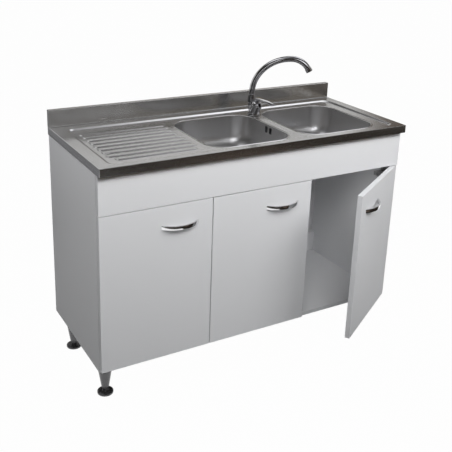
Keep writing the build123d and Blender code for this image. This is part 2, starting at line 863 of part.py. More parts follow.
tap_foot = recess_floor + tap_gasket_thickness
housing_root = recess_floor + tap_base_height / 2
tilt_sin = sin(radians(tap_tilt))
tilt_cos = cos(radians(tap_tilt))
housing_origin = Vector(tap_x, at_depth(tap_depth), housing_root)
housing_axis = Vector(0, -tilt_sin, tilt_cos)
housing_plane = Plane(origin=housing_origin, x_dir=(1, 0, 0), z_dir=housing_axis)
socket_depth = tap_depth + socket_offset
socket_top = recess_floor + socket_height
socket_low = socket_top - 1.5 * spout_spigot_length
branch_lean = Vector(0, socket_offset, socket_low - housing_root)
branch_plane = Plane(origin=housing_origin, x_dir=(1, 0, 0), z_dir=branch_lean)


def housing_rod(low, high, radius, mode=Mode.ADD):
    """A round bar or hole along the tilted housing between two distances from its root."""
    with Locations(housing_plane.location * Location((0, 0, (low + high) / 2))):
        Cylinder(radius, high - low, mode=mode)


with BuildPart() as tap_gasket:
    post(tap_x, tap_depth, recess_floor, tap_foot, tap_base_radius - sheet)
    post(tap_x, tap_depth, recess_floor, tap_foot, shank_radius, mode=Mode.SUBTRACT)
finish(tap_gasket, "tap_gasket")

cap_low = housing_length + cap_gap
cap_shoulder = cap_low + cap_skirt
cap_top = cap_shoulder + cap_dome
stem_low = cap_low - cap_stem_length

with BuildPart() as tap_body:
    post(tap_x, tap_depth, tap_foot, tap_foot + tap_base_height, tap_base_radius)
    post(tap_x, tap_depth, tap_foot, recess_floor + tap_trunk_height, tap_trunk_radius)
    housing_rod(housing_start, housing_length, tap_trunk_radius)
    with Locations(branch_plane.location * Location((0, 0, branch_lean.length * 0.7))):
        Cylinder(socket_radius, branch_lean.length * 0.6)
    post(tap_x, socket_depth, socket_low, socket_top, socket_radius)
    housing_rod(stem_low - cap_gap, housing_length, cap_stem_radius + pin_clearance,
                mode=Mode.SUBTRACT)
    post(tap_x, socket_depth, socket_top - spout_spigot_length - running_gap, socket_top,
         spout_spigot_radius + pin_clearance, mode=Mode.SUBTRACT)
finish(tap_body, "tap_body")

shank_bottom = tap_foot - shank_length
washer_low = deck_underside - tap_washer_thickness
nut_low = washer_low - tap_nut_height

with BuildPart() as tap_shank:
    post(tap_x, tap_depth, shank_bottom, tap_foot, shank_radius)
finish(tap_shank, "tap_shank")

with BuildPart() as tap_washer:
    post(tap_x, tap_depth, washer_low, deck_underside, tap_washer_radius)
    post(tap_x, tap_depth, washer_low, deck_underside, shank_radius, mode=Mode.SUBTRACT)
finish(tap_washer, "tap_washer")

with BuildPart() as tap_nut:
    with BuildSketch(Plane.XY.offset(nut_low)):
        with Locations((tap_x, at_depth(tap_depth))):
            RegularPolygon(tap_nut_radius, 6)
            Circle(shank_radius, mode=Mode.SUBTRACT)
    extrude(amount=tap_nut_height)
finish(tap_nut, "tap_nut")

with BuildPart() as tap_inlets:
    for step in (-inlet_spacing / 2, inlet_spacing / 2):
        post(tap_x + step, tap_depth, shank_bottom - inlet_length, shank_bottom, inlet_radius)
finish(tap_inlets, "tap_inlets")

pivot_point = housing_origin + housing_axis * lever_pivot
slot_low = lever_pivot - lever_hub_radius - running_gap
slot_high = cap_top + running_gap

with BuildPart() as tap_control_cap:
    with BuildSketch(Plane(origin=housing_origin, x_dir=(1, 0, 0),
                           z_dir=(0, -tilt_cos, -tilt_sin))):
        with BuildLine():
            Line((0, cap_low), (cap_radius, cap_low))
            Line((cap_radius, cap_low), (cap_radius, cap_shoulder))
            ThreePointArc((cap_radius, cap_shoulder),
                          (cap_radius * 0.66, cap_shoulder + cap_dome * 0.66),
                          (0, cap_top))
            Line((0, cap_top), (0, cap_low))
        make_face()
    revolve(axis=Axis(housing_origin, housing_axis))
    housing_rod(stem_low, cap_low, cap_stem_radius)
    with Locations(housing_plane.location * Location((0, 0, (slot_low + slot_high) / 2))):
        Box(lever_tongue + 2 * running_gap, 2.2 * cap_radius, slot_high - slot_low,
            mode=Mode.SUBTRACT)
    rod_along_x(tap_x - lever_tongue, tap_x + lever_tongue, pivot_point.Y - front_y,
                pivot_point.Z, hinge_pin_radius)
finish(tap_control_cap, "tap_control_cap")

lever_low = recess_floor + lever_height
lever_top = lever_low + lever_thickness
lever_middle = (lever_rear + lever_length) / 2
lever_plane = Plane(origin=(tap_x, at_depth(tap_depth), 0), x_dir=(0, -1, 0), z_dir=(-1, 0, 0))
pivot_forward = at_depth(tap_depth) - pivot_point.Y
neck_high = lever_low + lever_thickness / 2

with BuildPart() as tap_lever:
    with BuildSketch(lever_plane):
        with BuildLine():
            Line((lever_rear, lever_low), (lever_rear, lever_top))
            ThreePointArc((lever_rear, lever_top), (lever_middle, lever_top),
                          (lever_length, lever_low + lever_thickness * 0.4))
            Line((lever_length, lever_low + lever_thickness * 0.4),
                 (lever_length, lever_low - lever_thickness * 0.2))
            ThreePointArc((lever_length, lever_low - lever_thickness * 0.2),
                          (lever_middle, lever_low + lever_thickness * 0.1),
                          (lever_rear, lever_low))
        make_face()
    extrude(amount=lever_width / 2, both=True)
    with BuildSketch(lever_plane):
        with Locations((pivot_forward, pivot_point.Z)):
            Circle(lever_hub_radius)
        with Locations((pivot_forward, (pivot_point.Z + neck_high) / 2)):
            Rectangle(lever_hub_radius, neck_high - pivot_point.Z)
    extrude(amount=lever_tongue / 2, both=True)
    rod_along_x(tap_x - lever_tongue, tap_x + lever_tongue, pivot_point.Y - front_y,
                pivot_point.Z, hinge_pin_radius + pin_clearance, mode=Mode.SUBTRACT)
finish(tap_lever, "tap_lever")

# The spout's centre line: straight up, two rising arcs, a tighter crook over the top, and a
# short straight end for the aerator.
spout_angle = radians(spout_turn)
spout_plane = Plane(origin=(tap_x, at_depth(socket_depth), 0),
                    x_dir=(cos(spout_angle), sin(spout_angle), 0),
                    z_dir=(sin(spout_angle), -cos(spout_angle), 0))
spout_foot = socket_top + cap_gap
aerator_grip = aerator_length - aerator_lip
spout_bends = [
    (spout_rise_radius, 0.0, spout_rise_angle),
    (spout_shoulder_radius, spout_rise_angle, 90.0),
    (spout_crook_radius, 90.0, spout_end_angle),
]


def bend_point(start, radius, from_angle, to_angle):
    """Where an arc ends that starts at a point; angles are the line's lean from upright."""
    lean_from = radians(from_angle)
    lean_to = radians(to_angle)
    return (start[0] + radius * (cos(lean_from) - cos(lean_to)),
            start[1] + radius * (sin(lean_to) - sin(lean_from)))


with BuildPart() as tap_spout:
    with BuildLine(spout_plane) as spout_path:
        here = (0.0, socket_top + spout_straight)
        Line((0.0, spout_foot), here)
        for radius, low, high in spout_bends:
            halfway = bend_point(here, radius, low, (low + high) / 2)
            end = bend_point(here, radius, low, high)
            ThreePointArc(here, halfway, end)
            here = end
        end_lean = radians(spout_end_angle)
        Line(here, (here[0] + aerator_grip * sin(end_lean), here[1] + aerator_grip * cos(end_lean)))
    with BuildSketch(Plane.XY.offset(spout_foot)):
        with Locations((tap_x, at_depth(socket_depth))):
            Circle(spout_radius)
            Circle(spout_radius - spout_wall, mode=Mode.SUBTRACT)
    sweep(path=spout_path.line)
    post(tap_x, socket_depth, spout_foot, spout_foot + spout_foot_length, spout_radius)
    post(tap_x, socket_depth, socket_top - spout_spigot_length, spout_foot,
         spout_spigot_radius)
    post(tap_x, socket_depth, socket_top - spout_spigot_length,
         spout_foot + spout_foot_length, spout_spigot_radius - spout_wall, mode=Mode.SUBTRACT)
finish(tap_spout, "tap_spout")

aerator_plane = Plane(origin=spout_path.line @ 1, z_dir=spout_path.line % 1)


def aerator_rod(low, high, radius, mode=Mode.ADD):
    """A round bar or hole in line with the spout's end, measured from that end."""
    with Locations(aerator_plane.location * Location((0, 0, (low + high) / 2))):
        Cylinder(radius, high - low, mode=mode)


with BuildPart() as spout_aerator:
    aerator_rod(-aerator_grip, aerator_lip, aerator_radius)
    aerator_rod(-aerator_grip, 0, spout_radius, mode=Mode.SUBTRACT)
    aerator_rod(0, aerator_lip, spout_radius - 2 * spout_wall, mode=Mode.SUBTRACT)
finish(spout_aerator, "spout_aerator")

with BuildPart() as spout_collar:
    with Locations((tap_x, at_depth(socket_depth), spout_foot + collar_height / 2)):
        Cone(collar_foot_radius, collar_top_radius, collar_height)
    post(tap_x, socket_depth, spout_foot, spout_foot + collar_height, spout_radius,
         mode=Mode.SUBTRACT)
finish(spout_collar, "spout_collar")

# ------------------------------------------------------------------ wastes and trap
# Each bowl has a strainer waste with a lift-out basket. The right one runs through a level
# pipe to the left one's bottle trap, whose outlet goes back to the wall.

waste_bottom = bowl_floor - waste_body_depth
tail_bottom = waste_bottom - tail_length
cross_pipe_z = waste_bottom - cross_pipe_drop
pipe_bore = pipe_radius - pipe_wall
nut_top = bowl_floor - sheet


def strainer_waste(x):
    """A flanged cup that hangs through the bowl's hole, with a short tail under it."""
    flange_top = bowl_floor + waste_flange_thickness
    with BuildPart() as waste:
        post(x, bowl_centre, bowl_floor, flange_top, waste_flange_radius)
        post(x, bowl_centre, waste_bottom, flange_top, waste_body_radius)
        post(x, bowl_centre, tail_bottom, waste_bottom, pipe_radius)
        post(x, bowl_centre, waste_bottom + waste_wall, flange_top,
             waste_body_radius - waste_wall, mode=Mode.SUBTRACT)
        post(x, bowl_centre, tail_bottom, waste_bottom + waste_wall, pipe_bore,
             mode=Mode.SUBTRACT)
    return waste


def strainer_basket(x):
    """A basket that stands inside the waste and lifts straight out.

    Its perforated base, its rolled wall and its knob are three pieces pressed together.
    """
    low = waste_bottom + waste_wall + basket_gap
    high = low + basket_height
    wall_low = low + basket_wall + basket_joint
    with BuildPart() as basket:
        post(x, bowl_centre, low, low + basket_wall, basket_radius)
        with BuildSketch(Plane.XY.offset(low)):
            for ring_radius, count in ((basket_radius * 0.42, 8), (basket_radius * 0.74, 14)):
                with Locations((x, at_depth(bowl_centre))):
                    with PolarLocations(ring_radius, count):
                        Circle(basket_hole_radius)
        extrude(amount=basket_wall, mode=Mode.SUBTRACT)
        post(x, bowl_centre, wall_low, high, basket_radius)
        post(x, bowl_centre, wall_low, high, basket_radius - basket_wall, mode=Mode.SUBTRACT)
        post(x, bowl_centre, wall_low, high + basket_knob_height, basket_knob_radius / 2)
        post(x, bowl_centre, high, high + basket_knob_height, basket_knob_radius)
    return basket


finish(strainer_waste(bowl_left_x), "waste_left")
finish(strainer_waste(bowl_right_x), "waste_right")
finish(strainer_basket(bowl_left_x), "basket_left")
finish(strainer_basket(bowl_right_x), "basket_right")

with BuildPart() as waste_nuts:
    for x in (bowl_left_x, bowl_right_x):
        post(x, bowl_centre, nut_top - waste_nut_height, nut_top,
             waste_body_radius + waste_nut_width)
        post(x, bowl_centre, nut_top - waste_nut_height, nut_top, waste_body_radius,
             mode=Mode.SUBTRACT)
finish(waste_nuts, "waste_nuts")

with BuildPart() as cross_pipe:
    rod_along_x(bowl_left_x + pipe_radius, bowl_right_x, bowl_centre, cross_pipe_z, pipe_radius)
    post(bowl_right_x, bowl_centre, cross_pipe_z, tail_bottom, pipe_radius)
    with Locations((bowl_right_x, at_depth(bowl_centre), cross_pipe_z)):
        Sphere(pipe_radius)
    rod_along_x(bowl_left_x + pipe_radius, bowl_right_x, bowl_centre, cross_pipe_z, pipe_bore,
                mode=Mode.SUBTRACT)
    post(bowl_right_x, bowl_centre, cross_pipe_z, tail_bottom, pipe_bore, mode=Mode.SUBTRACT)
finish(cross_pipe, "cross_pipe")

trap_top = cross_pipe_z - pipe_radius - trap_lid_height
trap_bottom = trap_top - trap_length
cup_top = trap_bottom + trap_cup_height
outlet_z = cross_pipe_z - outlet_drop
outlet_back = top_depth - outlet_back_inset
trap_bore = trap_radius - pipe_wall

with BuildPart() as trap_body:
    post(bowl_left_x, bowl_centre, cup_top, trap_top, trap_radius)
    post(bowl_left_x, bowl_centre, cup_top, trap_top - pipe_wall, trap_bore,
         mode=Mode.SUBTRACT)
    post(bowl_left_x, bowl_centre, cup_top, tail_bottom, pipe_radius)
    rod_along_x(bowl_left_x, bowl_left_x + pipe_radius, bowl_centre, cross_pipe_z, pipe_radius)
    post(bowl_left_x, bowl_centre, cup_top, tail_bottom, pipe_bore, mode=Mode.SUBTRACT)
    rod_along_x(bowl_left_x, bowl_left_x + pipe_radius, bowl_centre, cross_pipe_z, pipe_bore,
                mode=Mode.SUBTRACT)
    rod_along_y(bowl_left_x, bowl_centre + pipe_radius + pipe_wall,
                bowl_centre + trap_radius, outlet_z, pipe_bore, mode=Mode.SUBTRACT)
finish(trap_body, "trap_body")

with BuildPart() as trap_cup:
    post(bowl_left_x, bowl_centre, trap_bottom, cup_top, trap_radius)
    post(bowl_left_x, bowl_centre, trap_bottom + pipe_wall, cup_top, trap_bore,
         mode=Mode.SUBTRACT)
finish(trap_cup, "trap_cup")

with BuildPart() as back_panel:
    slab(-cabinet_half, cabinet_half, carcass_back, cabinet_back, leg_height, carcass_top)
    rod_along_y(bowl_left_x, carcass_back, cabinet_back, outlet_z,
                pipe_radius + back_panel_clearance, mode=Mode.SUBTRACT)
    rod_along_y(tap_x, carcass_back, cabinet_back, outlet_z, pipe_radius, mode=Mode.SUBTRACT)
finish(back_panel, "back_panel")

ring_back = outlet_back - outlet_socket_length

with BuildPart() as outlet_pipe:
    rod_along_y(bowl_left_x, bowl_centre, outlet_back, outlet_z, pipe_radius)
    rod_along_y(bowl_left_x, ring_back - outlet_ring_width, ring_back, outlet_z,
                pipe_radius + outlet_ring_height)
    rod_along_y(bowl_left_x, bowl_centre, outlet_back, outlet_z, pipe_bore, mode=Mode.SUBTRACT)
    post(bowl_left_x, bowl_centre, trap_bottom, trap_top, trap_radius, mode=Mode.SUBTRACT)
finish(outlet_pipe, "outlet_pipe")

print("front edge at y", round(front_y, 3), "door reach", round(door_reach, 3))
print("hinge link length", round(link_length, 3))
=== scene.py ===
from math import cos, pi, radians, sin, tan

import bmesh
import bpy
from mathutils import Matrix, Vector


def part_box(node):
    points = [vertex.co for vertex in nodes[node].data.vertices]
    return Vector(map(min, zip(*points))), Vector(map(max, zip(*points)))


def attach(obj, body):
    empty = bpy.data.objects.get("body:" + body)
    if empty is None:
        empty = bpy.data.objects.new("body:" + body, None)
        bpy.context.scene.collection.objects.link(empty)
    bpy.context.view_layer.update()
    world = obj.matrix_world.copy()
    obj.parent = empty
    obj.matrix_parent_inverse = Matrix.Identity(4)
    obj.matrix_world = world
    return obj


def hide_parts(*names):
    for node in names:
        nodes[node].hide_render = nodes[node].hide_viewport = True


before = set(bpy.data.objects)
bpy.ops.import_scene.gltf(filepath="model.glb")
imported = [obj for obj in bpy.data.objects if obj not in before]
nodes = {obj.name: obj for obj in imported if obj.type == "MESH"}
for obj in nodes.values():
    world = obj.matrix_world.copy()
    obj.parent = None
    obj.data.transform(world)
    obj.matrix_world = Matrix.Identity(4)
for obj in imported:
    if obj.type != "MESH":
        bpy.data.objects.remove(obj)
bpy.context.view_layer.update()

# ---------------------------------------------------------------- cabinet boards
# The carcass is 16 mm chipboard faced with white melamine: two sides, a partition, a bottom and
# two rear rails, cut square, with their long edges taped and slightly eased.

BOARD_EASE = 0.0006
BOARD_SHARP = 20.0
BOARD_SHINE = 0.05
BOARD_WHITE = (0.78, 0.785, 0.80, 1.0)
TAPE_WHITE = (0.74, 0.745, 0.76, 1.0)
MERGE_WITHIN = 0.000002


def add_node(tree, kind, values=None, **settings):
    """A shader node with its settings, and its inputs set or wired by name or number."""
    node = tree.nodes.new(kind)
    for setting, value in settings.items():
        setattr(node, setting, value)
    for socket, value in (values or {}).items():
        if isinstance(value, bpy.types.NodeSocket):
            tree.links.new(value, node.inputs[socket])
        else:
            node.inputs[socket].default_value = value
    return node


def new_group(name, inputs, outputs):
    """An empty shader node group with float, vector or colour sockets."""
    group = bpy.data.node_groups.new(name, "ShaderNodeTree")
    for socket, (kind, value) in inputs.items():
        made = group.interface.new_socket(name=socket, in_out="INPUT", socket_type=kind)
        made.default_value = value
    for socket, kind in outputs.items():
        group.interface.new_socket(name=socket, in_out="OUTPUT", socket_type=kind)
    return group, group.nodes.new("NodeGroupInput"), group.nodes.new("NodeGroupOutput")


FLOAT = "NodeSocketFloat"
VECTOR = "NodeSocketVector"
COLOUR = "NodeSocketColor"


def make_soft_variation():
    """Cloudy change of tone and gloss, with a fine tooth on top for the bump."""
    group, given, out = new_group(
        "soft_variation",
        {
            "Colour": (COLOUR, (0.8, 0.8, 0.8, 1.0)),
            "Tone change": (FLOAT, 0.05),
            "Roughness": (FLOAT, 0.4),
            "Roughness change": (FLOAT, 0.08),
            "Cloud scale": (FLOAT, 6.0),
            "Tooth scale": (FLOAT, 900.0),
            "Stretch": (VECTOR, (1.0, 1.0, 1.0)),
        },
        {"Colour": COLOUR, "Roughness": FLOAT, "Tooth": FLOAT},
    )
    place = add_node(group, "ShaderNodeTexCoord").outputs["Object"]
    stretched = add_node(group, "ShaderNodeVectorMath", {0: place, 1: given.outputs["Stretch"]},
                         operation="MULTIPLY").outputs[0]
    cloud = add_node(group, "ShaderNodeTexNoise",
                     {"Vector": place, "Scale": given.outputs["Cloud scale"], "Detail": 4.0,
                      "Roughness": 0.6}).outputs["Fac"]
    tooth = add_node(group, "ShaderNodeTexNoise",
                     {"Vector": stretched, "Scale": given.outputs["Tooth scale"],
                      "Detail": 3.0}).outputs["Fac"]
    both = add_node(group, "ShaderNodeMath", {0: cloud, 1: tooth}, operation="ADD").outputs[0]
    centred = add_node(group, "ShaderNodeMath", {0: both, 1: 1.0},
                       operation="SUBTRACT").outputs[0]
    tone = add_node(group, "ShaderNodeMath",
                    {0: centred, 1: given.outputs["Tone change"], 2: 1.0},
                    operation="MULTIPLY_ADD").outputs[0]
    colour = add_node(group, "ShaderNodeVectorMath", {0: given.outputs["Colour"], "Scale": tone},
                      operation="SCALE").outputs[0]
    gloss = add_node(group, "ShaderNodeMath",
                     {0: centred, 1: given.outputs["Roughness change"],
                      2: given.outputs["Roughness"]},
                     operation="MULTIPLY_ADD", use_clamp=True).outputs[0]
    group.links.new(colour, out.inputs["Colour"])
    group.links.new(gloss, out.inputs["Roughness"])
    group.links.new(tooth, out.inputs["Tooth"])
    return group


soft_variation = make_soft_variation()


def varied_material(name, colour, roughness, metallic=0.0, coat=0.0, shine=0.5, tone=0.05,
                    gloss=0.08, cloud=6.0, tooth=900.0, stretch=(1.0, 1.0, 1.0), bump=0.05,
                    bump_height=0.0002):
    """A material whose tone, gloss and fine surface vary as soft_variation gives them."""
    material = bpy.data.materials.new(name)
    material.use_nodes = True
    material.diffuse_color = colour
    tree = material.node_tree
    shader = tree.nodes["Principled BSDF"]
    for socket, value in (("Base Color", colour), ("Metallic", metallic),
                          ("Roughness", roughness), ("Coat Weight", coat),
                          ("Specular IOR Level", shine)):
        shader.inputs[socket].default_value = value
    variation = add_node(tree, "ShaderNodeGroup",
                         {"Colour": colour, "Tone change": tone, "Roughness": roughness,
                          "Roughness change": gloss, "Cloud scale": cloud,
                          "Tooth scale": tooth, "Stretch": stretch},
                         node_tree=soft_variation)
    relief = add_node(tree, "ShaderNodeBump",
                      {"Height": variation.outputs["Tooth"], "Strength": bump,
                       "Distance": bump_height})
    tree.links.new(variation.outputs["Colour"], shader.inputs["Base Color"])
    tree.links.new(variation.outputs["Roughness"], shader.inputs["Roughness"])
    tree.links.new(relief.outputs["Normal"], shader.inputs["Normal"])
    return material


melamine = varied_material("white_melamine", BOARD_WHITE, 0.46, shine=BOARD_SHINE, tone=0.03,
                           gloss=0.10, cloud=3.0, tooth=1400.0, bump=0.12)
edge_tape = varied_material("white_edge_tape", TAPE_WHITE, 0.42, shine=BOARD_SHINE, tone=0.02,
                            gloss=0.06, cloud=5.0, tooth=500.0, stretch=(1.0, 1.0, 4.0),
                            bump=0.06)


def place_shape(name, shape, materials=()):
    """An object at the origin that takes over a bmesh."""
    mesh = bpy.data.meshes.new(name)
    shape.to_mesh(mesh)
    shape.free()
    for material in materials:
        mesh.materials.append(material)
    placed = bpy.data.objects.new(name, mesh)
    bpy.context.scene.collection.objects.link(placed)
    return placed


def write_piece(name, shape, materials, body, replaced, sharp=32.0):
    """Turn a bmesh into a smooth-shaded piece that rides on a body and hides the CAD parts it
    replaces.
    """
    bmesh.ops.recalc_face_normals(shape, faces=shape.faces)
    piece = place_shape(name, shape, materials)
    piece.data.shade_smooth()
    piece.data.set_sharp_from_angle(angle=radians(sharp))
    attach(piece, body)
    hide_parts(*replaced)
    return piece


def keep_flat(piece):
    """Weigh the shading by face area, so that small rounded edges don't bend large flat faces."""
    weighing = piece.modifiers.new("flat faces", "WEIGHTED_NORMAL")
    weighing.keep_sharp = True


def clean_copy(node):
    """The CAD node's shape with its doubles merged and its flat faces made whole."""
    shape = bmesh.new()
    shape.from_mesh(nodes[node].data)
    bmesh.ops.remove_doubles(shape, verts=shape.verts, dist=MERGE_WITHIN)
    bmesh.ops.dissolve_limit(shape, angle_limit=radians(1.0), verts=shape.verts,
                             edges=shape.edges)
    return shape


def round_off(shape, edges, radius, segments, clamp=False):
    """Round edges over to a radius."""
    bmesh.ops.bevel(shape, geom=edges, offset=radius, offset_type="OFFSET", segments=segments,
                    profile=0.5, affect="EDGES", material=-1, clamp_overlap=clamp)


def eased_copy(node, ease, shortest=0.014):
    """The CAD board with its long square edges eased."""
    shape = clean_copy(node)
    square = [edge for edge in shape.edges
              if edge.calc_length() > shortest and len(edge.link_faces) == 2
              and edge.calc_face_angle() > radians(60.0)]
    round_off(shape, square, ease, 2)
    return shape


def tape_edges(shape):
    """Give every face that isn't parallel to the board's largest face the edge tape."""
    largest = max(shape.faces, key=lambda face: face.calc_area())
    across = largest.normal.copy()
    for face in shape.faces:
        face.material_index = 0 if abs(face.normal.dot(across)) > 0.9 else 1


for board in ("side_left", "side_right", "partition", "bottom_panel", "rear_rails", "fascia"):
    board_shape = eased_copy(board, BOARD_EASE)
    tape_edges(board_shape)
    keep_flat(write_piece(board + "_board", board_shape, [melamine, edge_tape], "unit",
                          [board], sharp=BOARD_SHARP))

# ---------------------------------------------------------------- back panel
# A thin hardboard sheet closes the back. It is painted white, pinned over the rear edges of the
# carcass, and drilled for the hoses and the waste pipe.


def paint(material, *names):
    """Give carried-over CAD nodes a material."""
    for name in names:
        nodes[name].data.materials.clear()
        nodes[name].data.materials.append(material)


back_white = varied_material("painted_hardboard", (0.70, 0.705, 0.72, 1.0), 0.5, tone=0.06,
                             gloss=0.08, cloud=9.0, tooth=420.0, bump=0.25)
paint(back_white, "back_panel")

# ---------------------------------------------------------------- dowels and brackets
# Beech dowels hold the boards together, and steel angles hold the fascia. The angles,
# screws, hinges and studs are all nickel-plated.

beech = varied_material("beech", (0.56, 0.38, 0.21, 1.0), 0.55, tone=0.25, gloss=0.1,
                        cloud=40.0, tooth=700.0, stretch=(0.08, 1.0, 1.0), bump=0.3)
paint(beech, "carcass_dowels")

plated = varied_material("nickel_plate", (0.56, 0.555, 0.54, 1.0), 0.26, metallic=1.0,
                         tone=0.10, gloss=0.12, cloud=60.0, tooth=900.0, bump=0.08)
paint(plated, "fascia_brackets", "leg_studs", "hinge_arms", "hinge_plates", "hinge_screws",
      "hinge_links_left", "hinge_links_middle", "hinge_links_right", "hinge_cups_left",
      "hinge_cups_middle", "hinge_cups_right", "handle_screws_left", "handle_screws_middle",
      "handle_screws_right")

# ---------------------------------------------------------------- legs and feet
# Turned cone legs in dark grey metallic lacquer, screwed through round plates into the bottom
# board, each on a levelling foot with a bevelled pad.

LEG_TOP = 0.126
LEG_LOW = 0.022
LEG_TOP_RADIUS = 0.029
LEG_LOW_RADIUS = 0.0125
PLATE_RADIUS = 0.033
PLATE_TOP = 0.1297
PAD_RADIUS = 0.0275
PAD_TOP = 0.010
NECK_RADIUS = 0.0095
ROUND_STEPS = 64
POLE_MERGE = 0.0000005

leg_lacquer = varied_material("leg_lacquer", (0.10, 0.10, 0.103, 1.0), 0.28, metallic=0.9,
                              coat=0.2, tone=0.25, gloss=0.10, cloud=30.0, tooth=2200.0,
                              bump=0.10)
foot_lacquer = varied_material("foot_lacquer", (0.10, 0.10, 0.103, 1.0), 0.36, metallic=0.8,
                               tone=0.2, gloss=0.10, cloud=40.0, tooth=1200.0, bump=0.15)


def turned(shape, profile, centre, axis=Vector((0, 0, 1)), steps=ROUND_STEPS):
    """Turn a profile of (radius, distance) pairs about an axis through a centre."""
    axis = axis.normalized()
    sideways = axis.orthogonal().normalized()
    line = [shape.verts.new(centre + sideways * radius + axis * distance)
            for radius, distance in profile]
    edges = [shape.edges.new(pair) for pair in zip(line, line[1:])]
    bmesh.ops.spin(shape, geom=line + edges, cent=centre, axis=axis, angle=2 * pi, steps=steps,
                   use_merge=True)
    bmesh.ops.remove_doubles(shape, verts=shape.verts, dist=POLE_MERGE)


leg_places = {}
for corner in ("front_left", "front_right", "rear_left", "rear_right"):
    low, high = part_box("foot_" + corner)
    leg_places[corner] = Vector(((low.x + high.x) / 2, (low.y + high.y) / 2, 0.0))

leg_shape = bmesh.new()
plate_shape = bmesh.new()
for centre in leg_places.values():
    turned(leg_shape, [
        (0.0, LEG_LOW), (LEG_LOW_RADIUS - 0.0012, LEG_LOW), (LEG_LOW_RADIUS, LEG_LOW + 0.001),
        (LEG_LOW_RADIUS + 0.0007, LEG_LOW + 0.005), (LEG_TOP_RADIUS - 0.0006, LEG_TOP - 0.004),
        (LEG_TOP_RADIUS, LEG_TOP - 0.0012), (LEG_TOP_RADIUS - 0.0012, LEG_TOP), (0.0, LEG_TOP),
    ], centre)
    turned(plate_shape, [
        (0.0, LEG_TOP), (PLATE_RADIUS - 0.001, LEG_TOP), (PLATE_RADIUS, LEG_TOP + 0.001),
        (PLATE_RADIUS, PLATE_TOP), (0.0, PLATE_TOP),
    ], centre)
write_piece("cone_legs", leg_shape, [leg_lacquer], "unit", ["legs"])
write_piece("leg_top_plates", plate_shape, [leg_lacquer], "unit", ["leg_plates"])

for corner, centre in leg_places.items():
    foot_shape = bmesh.new()
    turned(foot_shape, [
        (0.0, 0.0), (PAD_RADIUS - 0.002, 0.0), (PAD_RADIUS - 0.0004, 0.0008),
        (PAD_RADIUS, 0.002), (PAD_RADIUS, 0.0068), (PAD_RADIUS - 0.0006, 0.0078),
        (PAD_RADIUS - 0.0045, PAD_TOP - 0.0003), (PAD_RADIUS - 0.0056, PAD_TOP),
        (NECK_RADIUS + 0.0015, PAD_TOP), (NECK_RADIUS, PAD_TOP + 0.0015),
        (NECK_RADIUS, LEG_LOW - 0.0003), (0.0, LEG_LOW - 0.0003),
    ], centre)
    write_piece("levelling_pad_" + corner, foot_shape, [foot_lacquer], "foot_" + corner,
                ["foot_" + corner])

# ---------------------------------------------------------------- doors
# Plain 18 mm doors in the same white melamine, taped on all four edges, with soft pads that
# they close against.

DOOR_EASE = 0.0009

for side in ("left", "middle", "right"):
    door_shape = eased_copy("door_" + side, DOOR_EASE)
    tape_edges(door_shape)
    keep_flat(write_piece("door_panel_" + side, door_shape, [melamine, edge_tape],
                          "door_" + side, ["door_" + side], sharp=BOARD_SHARP))

soft_pad = varied_material("soft_pad", (0.72, 0.72, 0.70, 1.0), 0.35, tone=0.05, tooth=600.0,
                           bump=0.1)
paint(soft_pad, "door_bumpers")

# ---------------------------------------------------------------- sink top
# One sheet of satin stainless steel, pressed to a shallow recess with a ribbed drainer and two
# round-cornered openings, folded down at the rim and up into a low wall at the back.

FRONT_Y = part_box("worktop")[0].y
TOP = 0.850
RECESS_FLOOR = 0.845
EDGE_LOW = 0.822
SHEET = 0.001
TOP_HALF = 0.600
TOP_BACK = FRONT_Y + 0.500
UPSTAND_FRONT = FRONT_Y + 0.480
UPSTAND_TOP = 0.911
RECESS_LOW = Vector((-0.558, FRONT_Y + 0.023))
RECESS_HIGH = Vector((0.564, FRONT_Y + 0.440))
RECESS_CORNER = 0.032
RECESS_ROUND = 0.0015
FOLD = 0.0012
COVE = 0.004
WALL_ROUND = 0.002
BOWL_Y = FRONT_Y + 0.2205
BOWL_X = {"left": -0.026, "right": 0.348}
BOWL_WIDTH = 0.325
BOWL_LENGTH = 0.346
BOWL_CORNER = 0.075
TAP_X = 0.161
TAP_Y = FRONT_Y + 0.366
TAP_HOLE = 0.0175
MOUTH_REACH = Vector((0.0085, 0.0085))
RIDGE_COUNT = 9
RIDGE_PITCH = 0.036
RIDGE_WIDTH = 0.029
RIDGE_FIRST = FRONT_Y + 0.082
RIDGE_LEFT = -0.535
RIDGE_RIGHT = -0.2165
RIDGE_TRIM = 0.016
RIDGE_REACH = Vector((0.001, 0.001))
JUST_UNDER = 0.00001

satin_steel = varied_material("satin_steel", (0.60, 0.60, 0.595, 1.0), 0.24, metallic=1.0,
                              tone=0.06, gloss=0.10, cloud=7.0, tooth=1000.0,
                              stretch=(0.015, 1.0, 1.0), bump=0.03, bump_height=0.0001)


def rounded_plate(shape, low, high, corner, z, segments):
    """An outline with round corners between a low and a high corner; returns its edges."""
    middle = (low + high) / 2
    size = high - low
    place = Matrix.Translation((middle.x, middle.y, z)) @ Matrix.Diagonal(
        (size.x, size.y, 1.0, 1.0))
    square = bmesh.ops.create_grid(shape, x_segments=1, y_segments=1, size=0.5,
                                   matrix=place)["verts"]
    limit = min(size.x, size.y) / 2 - JUST_UNDER
    rounded = bmesh.ops.bevel(shape, geom=square, offset=min(corner, limit),
                              offset_type="OFFSET", segments=segments, profile=0.5,
                              affect="VERTICES", material=-1)["verts"]
    face = rounded[0].link_faces[0]
    edges = list(face.edges)
    bmesh.ops.delete(shape, geom=[face], context="FACES_ONLY")
    return edges


def new_verts(made):
    """The vertices among the things that an operator made."""
    return [item for item in made if isinstance(item, bmesh.types.BMVert)]


